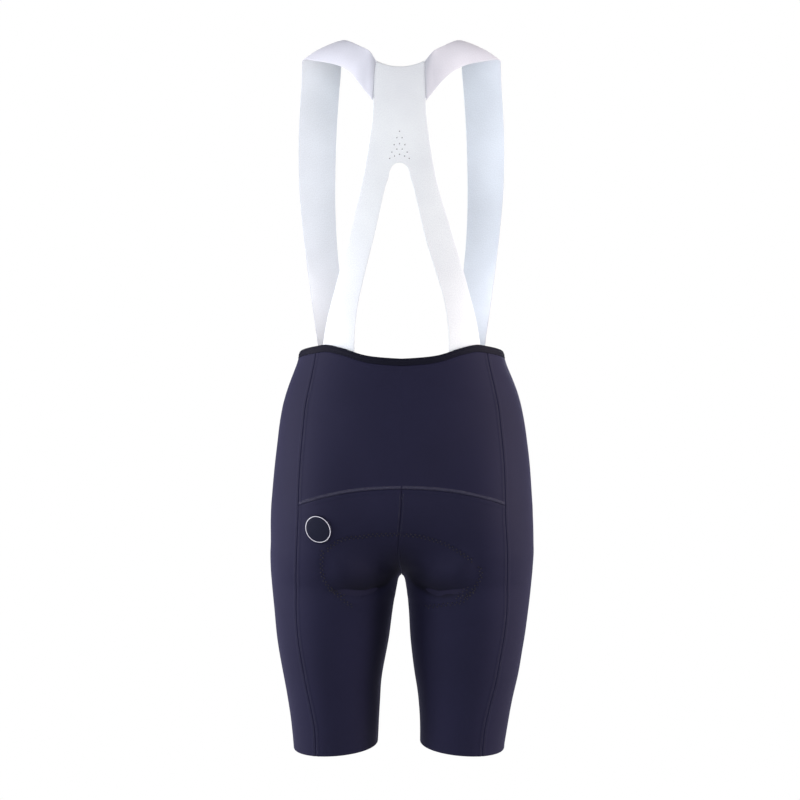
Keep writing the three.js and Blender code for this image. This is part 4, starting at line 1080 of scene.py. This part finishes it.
def make_yoke():
    """The inverted Y: the form's back, sunk under the knit, with its holes sunk into it."""
    slot, edge, z, dip = yoke_rows()
    x = mix(slot, edge, dense_near([(0, 5, 0.04), (1, 5, 0.04)], 36)[None])
    grid = face_on(x, z + dip * (1 - (x / edge[0, 0]) ** 2), 1)
    normal = outward(grid)
    across, whole = runs(grid, 1)
    down, _ = runs(grid, 0)
    relief = cut_edge(whole - across) + cut_edge(down)
    relief += cut_edge(across) * (slot > 0)
    # The legs pull straight between their ends, which leaves a soft hollow along each of them
    hollow = smooth(*HOLLOW_FROM, z) * (1 - smooth(*HOLLOW_TO, z))
    relief -= LEG_HOLLOW * np.sin(np.pi * across / whole) * hollow
    outer = moved(grid, normal, relief - STRAP_SINK)
    inner = moved(grid, normal, -STRAP_SINK - STRAP_WALL * 0.9)
    uv = np.stack([x * np.ones_like(across), -down], axis=-1)
    points, faces, uv, side = wall(with_mirror(outer, inner, uv))
    yoke = put_mesh("back_yoke_made", points, faces, uv,
                    [finish_named("white strap knit"), finish_named("white strap knit inside")],
                    side)
    places = np.array([(sign * x, z) for x, z in HOLES for sign in ((1, -1) if x else (1,))])
    centre = face_on(places[:, 0], places[:, 1], 1)
    out = outward(centre)
    bottom = -STRAP_SINK - HOLE_DEPTH
    punch_holes(yoke, np.stack([centre + out * d for d in (bottom, 1.0)], axis=1))
    top = bottom + HOLE_FLOOR
    floors = np.stack([centre + out * d for d in (top - HOLE_FLOOR_WALL, top)], axis=1)
    shade = small_piece("yoke_hole_floors", cylinders(floors, HOLE_RADIUS * 0.98),
                        "perforation shade")
    on_cloth(yoke, "back_yoke")
    width, length, area = CUTS["back_yoke"]


def cylinders(ends, radius, sides=14):
    """Closed cylinders between pairs of end points, N x 2 x 3."""
    along = unit(ends[:, 1] - ends[:, 0])
    u = unit(np.cross(along, np.array([0.0, 0, 1])))
    v = np.cross(along, u)
    t = np.linspace(0, 2 * np.pi, sides, endpoint=False)
    ring = np.cos(t)[:, None] * u[:, None] + np.sin(t)[:, None] * v[:, None]
    points = ends[:, :, None] + radius * ring[:, None]
    body = grid_faces(2, sides, around=True)
    fan = np.stack([np.zeros(sides - 2, int), np.arange(1, sides - 1), np.arange(2, sides)], -1)
    one = np.concatenate([triangles(body), fan[:, ::-1], fan + sides])
    faces = (one[None] + (np.arange(len(ends)) * 2 * sides)[:, None, None]).reshape(-1, 3)
    flat = points.reshape(-1, 3)
    return flat, flipped_out(flat, faces, len(one))


def punch_holes(obj, pins):
    """Cuts short cylinders out of a shell, and keeps the result as its mesh."""
    points, faces = cylinders(pins, HOLE_RADIUS)
    cutter = put_mesh("hole_punch", points, faces)
    punch = obj.modifiers.new("holes", "BOOLEAN")
    punch.operation, punch.object, punch.solver = "DIFFERENCE", cutter, "EXACT"
    graph = bpy.context.evaluated_depsgraph_get()
    cut = bpy.data.meshes.new_from_object(obj.evaluated_get(graph))
    obj.modifiers.clear()
    obj.data = cut
    bpy.data.objects.remove(cutter)


def strap_surface(steps, shares):
    """The strap's middle: straight from its neck edge to its arm edge, crowned by 4s(1 - s), laid
    onto the form near the waist, and led to the yoke's side seam at its other end."""
    row = {name: value[:, None] for name, value in read(STRAP, "step", steps).items()}
    share = shares[None]
    neck = stack(row["neck_x"], row["neck_y"], row["neck_z"])
    arm = stack(row["arm_x"], row["arm_y"], row["arm_z"])
    grid = neck + (arm - neck) * share[..., None]
    grid = grid + square_to(grid) * (row["crown"] * 4 * share * (1 - share))[..., None]
    z = mix(NECK_SIDE, YOKE_SEAM_END, shares)
    seam = face_on(read(YOKE_EDGE, "z", z)["x"], z, 1)
    seam = seam - outward(seam) * (STRAP_SINK + STRAP_WALL / 2) + (YOKE_SEAM_GAP, 0, 0)
    led = 1 - smooth(0, 1.2, steps)
    grid = grid + (seam - grid[0])[None] * led[:, None, None]
    low = (grid[..., 1] < 0) & (grid[..., 2] < STRAP_SETTLE_FROM)
    laid = face_on(grid[..., 0], grid[..., 2], -1)
    laid = laid - outward(laid) * (STRAP_SINK + STRAP_WALL / 2)
    settled = smooth(-STRAP_SETTLE_FROM, -STRAP_SETTLE_TO, -grid[..., 2]) * low
    return grid + (laid - grid) * settled[..., None]


def square_to(grid):
    """The direction square to a grid at each point: along cross across."""
    return unit(np.cross(np.gradient(grid, axis=0), np.gradient(grid, axis=1)))


def make_straps():
    """The two shoulder straps, with cut edges and a faint pull along them."""
    steps = dense_near([(0, 5, 0.01)], 230) * STRAP["step"][-1]
    shares = dense_near([(0, 5, 0.03), (1, 5, 0.03)], 40)
    grid = strap_surface(steps, shares)
    normal = square_to(grid)
    across, whole = runs(grid, 1)
    down, length = runs(grid, 0)
    relief = cut_edge(across, STRAP_ROLL) + cut_edge(whole - across, STRAP_ROLL)
    relief += cut_edge(down, STRAP_END_ROLL)
    relief += STRAP_PULL * np.sin(4 * np.pi * across / whole) * np.sin(np.pi * down / length)
    half = STRAP_WALL * 0.45
    outer, inner = grid + normal * (half + relief)[..., None], grid - normal * half
    uv = np.stack([across - whole / 2, -down], axis=-1)
    finishes = [finish_named("white shoulder knit"), finish_named("white strap knit inside")]
    width, length, area = CUTS["shoulder_strap"]
    for name, flip in HALVES:
        points, faces, made_uv, side = wall([(outer * (flip, 1, 1), inner * (flip, 1, 1), uv)])
        strap = put_mesh(f"shoulder_strap_{name}_made", points, faces, made_uv, finishes, side)
        on_cloth(strap, f"shoulder_strap_{name}")


# The round patch: a moulded disc with a rounded rim, and a pale ring printed on it
PATCH_X, PATCH_Z, PATCH_RADIUS, PATCH_WALL, PATCH_LIFT = 104.5, -630.0, 17.6, 2.5, 0.4
RING_RADIUS, RING_HALF_WIDTH, PATCH_SPOKES = 15.7, 0.42, 96
# How far the stretched knit pulls the disc askew, as a share of its height
PATCH_SKEW = -0.15
PATCH_RIM, RIM_START, RIM_FOOT = 1.4, 0.15, 0.35
PATCH_GROOVE, PATCH_GROOVE_RADIUS, PATCH_GROOVE_WIDTH = 0.25, 14.2, 0.7
PATCH_DISH, PATCH_DISH_ZONE = 0.15, (10, 14)
RING_CROWN, RING_LOW, RING_SINK = 0.16, 0.02, 0.15


def make_patch():
    """The disc over the cloth: circles of growing radius dropped onto the form, raised by the wall,
    which falls off at the rim as a quarter circle. The ring is a thin band of the same kind."""
    centre = face_on(PATCH_X, PATCH_Z, 1)
    out = outward(centre)
    level = unit(np.cross(np.array([0.0, 0, 1]), out))
    up = np.cross(out, level) + PATCH_SKEW * level
    angle = np.linspace(0, 2 * np.pi, PATCH_SPOKES + 1)
    angle[-1] = 0

    def over(radii, height):
        circle = radii[:, None, None] * (np.cos(angle)[None, :, None] * level
                                         + np.sin(angle)[None, :, None] * up)
        base = exit_point(centre - out * 25 + circle, out, 50)
        return base, base + outward(base) * (PATCH_LIFT + height)[:, None, None]

    def flat_circles(radii):
        return radii[:, None, None] * np.stack([np.cos(angle), np.sin(angle)], axis=-1)

    rim = np.sin(np.linspace(RIM_START, np.pi / 2, 10))
    radii = np.concatenate([np.linspace(0, PATCH_RADIUS - PATCH_RIM, 24),
                            PATCH_RADIUS - PATCH_RIM + PATCH_RIM * rim])
    fall = np.clip((radii - PATCH_RADIUS + PATCH_RIM) / PATCH_RIM, 0, 1)
    height = RIM_FOOT + (1 - RIM_FOOT) * np.sqrt(np.maximum(1 - fall ** 2, 0))
    height = PATCH_WALL * height - PATCH_DISH * (1 - smooth(*PATCH_DISH_ZONE, radii))
    height -= PATCH_GROOVE * bell(radii - PATCH_GROOVE_RADIUS, PATCH_GROOVE_WIDTH)
    base, top = over(radii, height)
    foot = base + outward(base) * PATCH_LIFT
    points, faces, uv, _ = wall([(top, foot, flat_circles(radii))])
    disc = put_mesh("round_patch_made", points, faces, uv, [finish_named("moulded rubber")])
    on_cloth(disc, "round_patch")
    s = np.linspace(-1, 1, 9)
    ring_radii = RING_RADIUS + RING_HALF_WIDTH * s
    _, top = over(ring_radii, PATCH_WALL + RING_CROWN * np.sqrt(1 - s ** 2) - RING_LOW)
    _, foot = over(ring_radii, np.full(len(s), PATCH_WALL - RING_SINK))
    points, faces, uv, _ = wall([(top, foot, flat_circles(ring_radii))])
    ring = put_mesh("round_patch_ring", points, faces, uv, [finish_named("printed ring")])
    on_cloth(ring)


# The seat pad, as in the part's solids, with its channels
PAD = table("behind half", [
    (121, 64), (112, 74), (92, 80), (66, 76), (38, 60), (0, 40), (-38, 38), (-75, 42), (-105, 44),
    (-126, 38), (-138, 24),
])
PAD_CLEARANCE, PAD_EDGE, PAD_CROWN, PAD_MIDDLE_CLEAR = 2.3, 2, 5, 0.5
PATTERN_RADIUS, PATTERN_REACH = 88, 12
# The sitting zone as an ellipse, its channel and the centre channel by depth and width, its swell
ZONE_HALF, ZONE_BEHIND, ZONE_LENGTH, ZONE_SIZE = 50, 72, 40, 34
ZONE_CHANNEL, CENTRE_CHANNEL, CENTRE_CHANNEL_END, ZONE_SWELL = (1.3, 2.2), (1.6, 4.0), 0.8, 0.9
BORDER, BORDER_ZONE, PAD_THINNEST = 1.2, (0.9, 0.96), -1.0


def make_pad():
    """The pad inside the seat. Each row crosses the rise and reaches out square to it in the
    leg's unrolled pattern. The foam is thickest over the middle, with a channel down the centre,
    one round the sitting zone, and a thin stitched border."""
    behind = np.linspace(PAD["behind"][0], PAD["behind"][-1], 120)
    half = read(PAD, "behind", behind)["half"][:, None]
    share = dense_near([(0, 5, 0.05), (1, 3, 0.06)], 54)[None] ** 1.3

    def unroll(p):
        turn = np.arctan2(p[:, 1] - AXIS_Y, -AXIS_X)
        inward = np.where(p[:, 1] >= AXIS_Y, np.pi - turn, -np.pi - turn)
        return np.stack([inward * PATTERN_RADIUS, p[:, 2]], axis=-1)

    here = rise_at(CROTCH_LENGTH - behind)
    run = unit(unroll(rise_at(CROTCH_LENGTH - behind - PATTERN_REACH))
               - unroll(rise_at(CROTCH_LENGTH - behind + PATTERN_REACH)))
    beside = np.stack([run[:, 1], -run[:, 0]], axis=-1)[:, None] * (share * half)[..., None]
    place = unroll(here)[:, None] + beside
    grid = skin(np.pi - place[..., 0] / PATTERN_RADIUS, place[..., 1], PAD_MIDDLE_CLEAR)
    grid[:, 0] = here
    normal = outward(grid)
    endwise = np.abs(np.linspace(-1, 1, len(behind)))[:, None]
    crown = PAD_CROWN * (1 - share ** 4) * (1 - endwise ** 8)
    zone = np.hypot(share * half / ZONE_HALF, (behind[:, None] - ZONE_BEHIND) / ZONE_LENGTH)
    depth, width = CENTRE_CHANNEL
    crown = crown - depth * bell(share * half, width) * (endwise < CENTRE_CHANNEL_END)
    depth, width = ZONE_CHANNEL
    crown = crown - depth * bell((zone - 1) * ZONE_SIZE, width)
    crown = crown + ZONE_SWELL * (1 - smooth(0.75, 1, zone))
    border = BORDER * smooth(*BORDER_ZONE, np.maximum(share, endwise))
    foam = PAD_EDGE + np.maximum(crown - border, PAD_THINNEST)
    outer = moved(grid, normal, -KNIT_WALL - PAD_CLEARANCE)
    inner = moved(grid, normal, -KNIT_WALL - PAD_CLEARANCE - foam)
    across, _ = runs(grid, 1)
    uv = np.stack([across, np.broadcast_to(behind[:, None], across.shape)], axis=-1)
    points, faces, uv, _ = wall(with_mirror(outer, inner, uv))
    pad = put_mesh("seat_pad_made", points, faces, uv, [finish_named("brushed pad fleece")])
    on_cloth(pad, "seat_pad")


# Threads


def both_sides(points, faces):
    """A mesh and its mirror image as one."""
    return joined([(points, faces), mirrored_mesh(points, faces)])


def seam_line(side, rows, share):
    """Points and outward directions along one edge of a panel, or along one of its rows."""
    columns = np.unique(np.append(0.0, share))
    grid = panel_grid(side, np.atleast_1d(np.asarray(rows, float)), columns)
    grid = grid if np.ndim(share) else grid[:, -1]
    line = grid.reshape(-1, 3)
    return line, outward(line)


# Distances of the stitch rows from the seams, how high they lie, and the cover thread's zigzag
TWIN_ROWS, SINGLE_ROW, STITCH_LIFT = (-2.5, 2.5), (2.3,), 0.24
COVER_NEAR, COVER_FAR, COVER_LIFT, COVER_PITCH, COVER_THICKER = 0.4, 4.4, 0.40, 1.5, 1.5
QUILT_STITCH_LEAN, QUILT_STITCH_HALF, QUILT_STITCH_RADIUS, QUILT_STITCH_LIFT = 0.3, 0.7, 0.85, 0.15
# The yoke's seams: offset, height, stitch length, gap and thread radius
YOKE_STITCHES = [(0.0, -0.1, 2.6, 0.25, 0.3), (1.5, 0.02, 1.7, 0.9, 0.12)]


def make_threads():
    """Twin-needle stitches beside the long seams, cover stitches over the seat seam, the pad's
    quilting, and the stitches of the yoke's seams."""
    sizes = bpy.context.scene.bib_sizes
    length, gap, radius = sizes.stitch_length, sizes.stitch_gap, sizes.thread_radius
    seams = [("back", 0, HEM_ROW, 500, 1.0, TWIN_ROWS),
             ("front", 0, CROTCH_ROW - 0.4, 300, 0.0, SINGLE_ROW),
             ("back", SEAT_SEAM_ROW + 0.1, CROTCH_ROW - 0.4, 200, 0.0, SINGLE_ROW),
             ("back", CROTCH_ROW + 0.3, HEM_ROW, 300, 0.0, SINGLE_ROW)]
    parts = []
    for side, first, last, count, share, beside in seams:
        line, normal = seam_line(side, np.linspace(first, last, count), share)
        for shift in beside:
            mesh = stitches(line, normal, shift, STITCH_LIFT, length, gap, radius)
            toward = mesh[0].mean(axis=0)[0] - line.mean(axis=0)[0]
            if len(beside) == 1 and toward < 0:
                mesh = stitches(line, normal, -shift, STITCH_LIFT, length, gap, radius)
            parts.append(both_sides(*mesh))
    points, faces = joined(parts)
    small_piece("long_seam_stitches", (seam_bend(points), faces), "navy sewing thread")
    line, normal = seam_line("back", SEAT_SEAM_ROW, np.linspace(0, 1, 300))
    thread = (COVER_LIFT, COVER_PITCH, radius * COVER_THICKER)
    cover = cover_stitches(line, normal, COVER_NEAR, COVER_FAR, *thread)
    if cover[0][:, 2].mean() < line[:, 2].mean():
        cover = cover_stitches(line, normal, -COVER_NEAR, -COVER_FAR, *thread)
    small_piece("seat_seam_cover_stitches", both_sides(*cover), "cover thread")
    spots = quilt_points()
    place = face_on(spots[:, 0], spots[:, 1], 1)
    out = outward(place)
    along = unit(np.cross(out, np.array([QUILT_STITCH_LEAN, 0, 1.0])))
    reach = (np.linspace(-1, 1, 4) * QUILT_STITCH_HALF)[None, :, None]
    sunk = (fold_relief(place) + crease_relief(place) + QUILT_STITCH_LIFT)[:, None, None]
    centre = place[:, None] + out[:, None] * sunk + along[:, None] * reach
    small_piece("pad_quilting_stitches", tubes(centre, QUILT_STITCH_RADIUS, sides=7),
                "quilting thread")
    z = np.linspace(NECK_SIDE - 1.5, YOKE_SEAM_END + 1.5, 120)
    line = face_on(read(YOKE_EDGE, "z", z)["x"], z, 1)
    normal = outward(line)
    line = line - normal * STRAP_SINK
    rows = joined([stitches(line, normal, *row) for row in YOKE_STITCHES])
    small_piece("yoke_seam_stitches", both_sides(*rows), "white sewing thread")


# The stage


# The sheet's grey to all but the camera, its half size, and the point that the lamps face
SHEET_GREY, SHEET_HALF, LAMP_AIM = 0.35, 40000.0, np.array([0, 0, -0.5])


def backlit_floor():
    """The photographer's backlit sheet: blank white to the camera, and a soft grey to the rest."""
    material, tree = blank_material("backlit studio sheet")
    path = node(tree, "ShaderNodeLightPath")
    cloth = node(tree, "ShaderNodeBsdfDiffuse", Color=(*[SHEET_GREY] * 3, 1))
    glow = node(tree, "ShaderNodeEmission", Color=(1, 1, 1, 1), Strength=1.0)
    both = node(tree, "ShaderNodeMixShader", Fac=(path, "Is Camera Ray"))
    tree.links.new(cloth.outputs["BSDF"], both.inputs[1])
    tree.links.new(glow.outputs["Emission"], both.inputs[2])
    node(tree, "ShaderNodeOutputMaterial", Surface=(both, "Shader"))
    return material


def make_stage():
    """A pale floor, soft studio light and the camera straight behind the shorts."""
    stage = bpy.context.scene.bib_stage
    corner = np.array([(-1, -1), (1, -1), (1, 1), (-1, 1)]) * SHEET_HALF
    floor = put_mesh("floor", stack(corner[:, 0], corner[:, 1], stage.floor_level / MM),
                     np.array([[0, 1, 2, 3]]), None, [backlit_floor()], drift=False)
    world = bpy.data.worlds.new("studio")
    bpy.context.scene.world = world
    world.use_nodes = True
    tree = world.node_tree
    tree.nodes.clear()
    path = node(tree, "ShaderNodeLightPath")
    level = node(tree, "ShaderNodeMapRange", Value=(path, "Is Camera Ray"), To_Min=stage.sky_light,
                 To_Max=1.0)
    sky = node(tree, "ShaderNodeBackground", Color=(1, 1, 1, 1), Strength=(level, "Result"))
    node(tree, "ShaderNodeOutputWorld", Surface=(sky, "Background"))
    for name, place, size, power, code in LIGHTS:
        data = bpy.data.lights.new(name, "AREA")
        data.shape, data.size, data.energy = "DISK", size, power * stage.lamp_light
        data.color = colour(code)[:3]
        lamp = bpy.data.objects.new(name, data)
        bpy.context.scene.collection.objects.link(lamp)
        look_at(lamp, np.array(place), LAMP_AIM)
    data = bpy.data.cameras.new("camera")
    data.sensor_width, data.lens = 36, stage.lens
    camera = bpy.data.objects.new("camera", data)
    bpy.context.scene.collection.objects.link(camera)
    place = np.array([stage.camera_x, stage.camera_distance, stage.camera_height])
    look_at(camera, place, place - (0, 1, 0))
    bpy.context.scene.camera = camera
    bpy.context.scene.view_settings.view_transform = "Standard"


# Name, place in metres, size, power and colour
LIGHTS = [
    ("key", (1.4, 3.0, 1.0), 1.2, 17, "#FFFFFF"),
    ("high key", (0.5, 2.5, 2.6), 1.2, 8, "#F2F4FF"),
    ("even light", (0.1, 3.2, -0.6), 2.4, 46, "#FAFBFF"),
    ("left side", (2.3, 0.1, -0.5), 1.4, 32, "#FFFAFF"),
    ("high left side", (2.1, 0.3, 0.2), 1.3, 41, "#FFF8FA"),
    ("right side", (-2.3, 0.1, -0.5), 1.4, 24, "#FFF2E8"),
    ("high right side", (-2.1, 0.3, 0.2), 1.3, 46, "#FFF0EE"),
    ("front fill", (-0.6, -2.8, 0.9), 2.0, 60, "#FFFFFF"),
]


def look_at(obj, place, target):
    """Places an object and turns its -Z toward the target, with its +Y up."""
    back = unit(place - target)
    side = unit(np.cross(np.array([0.0, 0, 1]), back))
    up = np.cross(back, side)
    matrix = np.eye(4)
    matrix[:3, 0], matrix[:3, 1], matrix[:3, 2], matrix[:3, 3] = side, up, back, place
    obj.matrix_world = Matrix(matrix.tolist())


# The add-on's settings, operators and panel


def colour_setting(name, code, text):
    """A colour property whose default is an sRGB hex colour."""
    return FloatVectorProperty(name=name, description=text, default=colour(code)[:3], size=3, min=0,
                               max=1, subtype="COLOR")


class BIB_PG_colours(bpy.types.PropertyGroup):
    """Colours of the cloth, the threads and the trim"""
    knit: colour_setting("Knit", "#1B1B34", "Face of the navy knit")
    knit_inside: colour_setting("Knit inside", "#232238", "Wrong side of the navy knit")
    binding: colour_setting("Waist edge", "#0D0E1E", "Elastic edge round the waist")
    strap: colour_setting("Strap", "#ECF2F8", "Face of the white strap knit")
    shoulder: colour_setting("Shoulder strap", "#CDD1DB", "Face of the shoulder straps")
    # The grey of the wrong side is painted shade on the inner faces
    strap_inside: colour_setting("Strap inside", "#D9E2EA", "Wrong side of the white strap knit")
    fleece: colour_setting("Pad", "#363441", "Face of the seat pad")
    thread: colour_setting("Thread", "#1B1A2A", "Stitches beside the long seams")
    cover_thread: colour_setting("Cover thread", "#34344F", "Stitches over the seat seam")
    quilt_thread: colour_setting("Quilting thread", "#08070D", "Stitches that hold the pad")
    strap_thread: colour_setting("Strap thread", "#9FA1B2", "Stitches beside the yoke's seams")
    rubber: colour_setting("Patch", "#14172B", "Round patch")
    ring: colour_setting("Ring", "#E2E3EE", "Ring on the round patch")
    hole: colour_setting("Holes", "#6F6F7C", "Bottoms of the yoke's holes")


class BIB_PG_sizes(bpy.types.PropertyGroup):
    """Sizes of the threads, in millimetres"""
    stitch_length: FloatProperty(name="Stitch length", description="Length of a stitch, mm",
                                 default=2.0, min=0.5, max=6)
    stitch_gap: FloatProperty(name="Stitch gap", description="Gap between stitches, mm",
                              default=0.8, min=0.2, max=4)
    thread_radius: FloatProperty(name="Thread radius", description="Radius of the thread, mm",
                                 default=0.17, min=0.05, max=0.6)


class BIB_PG_stage(bpy.types.PropertyGroup):
    """Camera, floor and light"""
    camera_distance: FloatProperty(name="Camera distance",
                                   description="Distance behind the origin",
                                   default=2.0, unit="LENGTH")
    camera_x: FloatProperty(name="Camera side shift", description="Distance to the wearer's left",
                            default=0.002, unit="LENGTH")
    camera_height: FloatProperty(name="Camera height", description="Height of the level view",
                                 default=-0.47, unit="LENGTH")
    lens: FloatProperty(name="Lens", description="Focal length in millimetres", default=68.7)
    floor_level: FloatProperty(name="Floor level", description="Height of the floor", default=-1.3,
                               unit="LENGTH")
    sky_light: FloatProperty(name="Sky light", default=0.03,
                             description="Strength of the light from all round")
    lamp_light: FloatProperty(name="Lamp light", description="Factor on every lamp", default=1.0)


def operator(name, label, text, work):
    """An operator class that makes one group of pieces."""
    def execute(self, context):
        work()
        return {"FINISHED"}
    return type(f"BIB_OT_{name}", (bpy.types.Operator,), {
        "bl_idname": f"bib.{name}", "bl_label": label, "__doc__": text, "execute": execute,
        "bl_options": {"REGISTER", "UNDO"}})


OPERATORS = [
    operator("waist_panel", "Waist panel", "Make the panel over the small of the back",
             make_waist_panel),
    operator("seat_panels", "Seat panels", "Make the two seat panels",
             lambda: make_leg_panels("back_seat")),
    operator("front_panels", "Front panels", "Make the two fronts",
             lambda: make_leg_panels("front")),
    operator("waist_band", "Waist band", "Make the elastic edge of the waist", make_waist_band),
    operator("yoke", "Yoke", "Make the inverted Y with its ventilation holes", make_yoke),
    operator("straps", "Shoulder straps", "Make the two shoulder straps", make_straps),
    operator("patch", "Round patch", "Make the round patch and its ring", make_patch),
    operator("pad", "Seat pad", "Make the pad inside the seat", make_pad),
    operator("threads", "Threads", "Make the stitches and the quilting", make_threads),
    operator("stage", "Stage", "Make the floor, the lights and the camera", make_stage),
]


class BIB_PT_main(bpy.types.Panel):
    """The sidebar panel that lists the pieces and their settings"""
    bl_idname = "BIB_PT_main"
    bl_label = "Bib Shorts"
    bl_space_type = "VIEW_3D"
    bl_region_type = "UI"
    bl_category = "Bib Shorts"

    def draw(self, context):
        for made in OPERATORS:
            self.layout.operator(made.bl_idname)
        for group in (context.scene.bib_colours, context.scene.bib_sizes, context.scene.bib_stage):
            box = self.layout.box()
            for name in group.__annotations__:
                box.prop(group, name)


SETTINGS = {"bib_colours": BIB_PG_colours, "bib_sizes": BIB_PG_sizes, "bib_stage": BIB_PG_stage}
CLASSES = [*SETTINGS.values(), *OPERATORS, BIB_PT_main]


def register():
    """Registers the classes and hangs the settings on the scene."""
    for made in CLASSES:
        bpy.utils.register_class(made)
    for name, group in SETTINGS.items():
        setattr(bpy.types.Scene, name, PointerProperty(type=group))


def unregister():
    """Takes the settings and the classes away again."""
    for name in SETTINGS:
        delattr(bpy.types.Scene, name)
    for made in reversed(CLASSES):
        bpy.utils.unregister_class(made)


def main():
    """Registers, makes every piece in order, and writes the two boxes."""
    register()
    for made in OPERATORS:
        getattr(bpy.ops.bib, made.bl_idname.split(".")[1])()


if __name__ == "__main__":
    main()
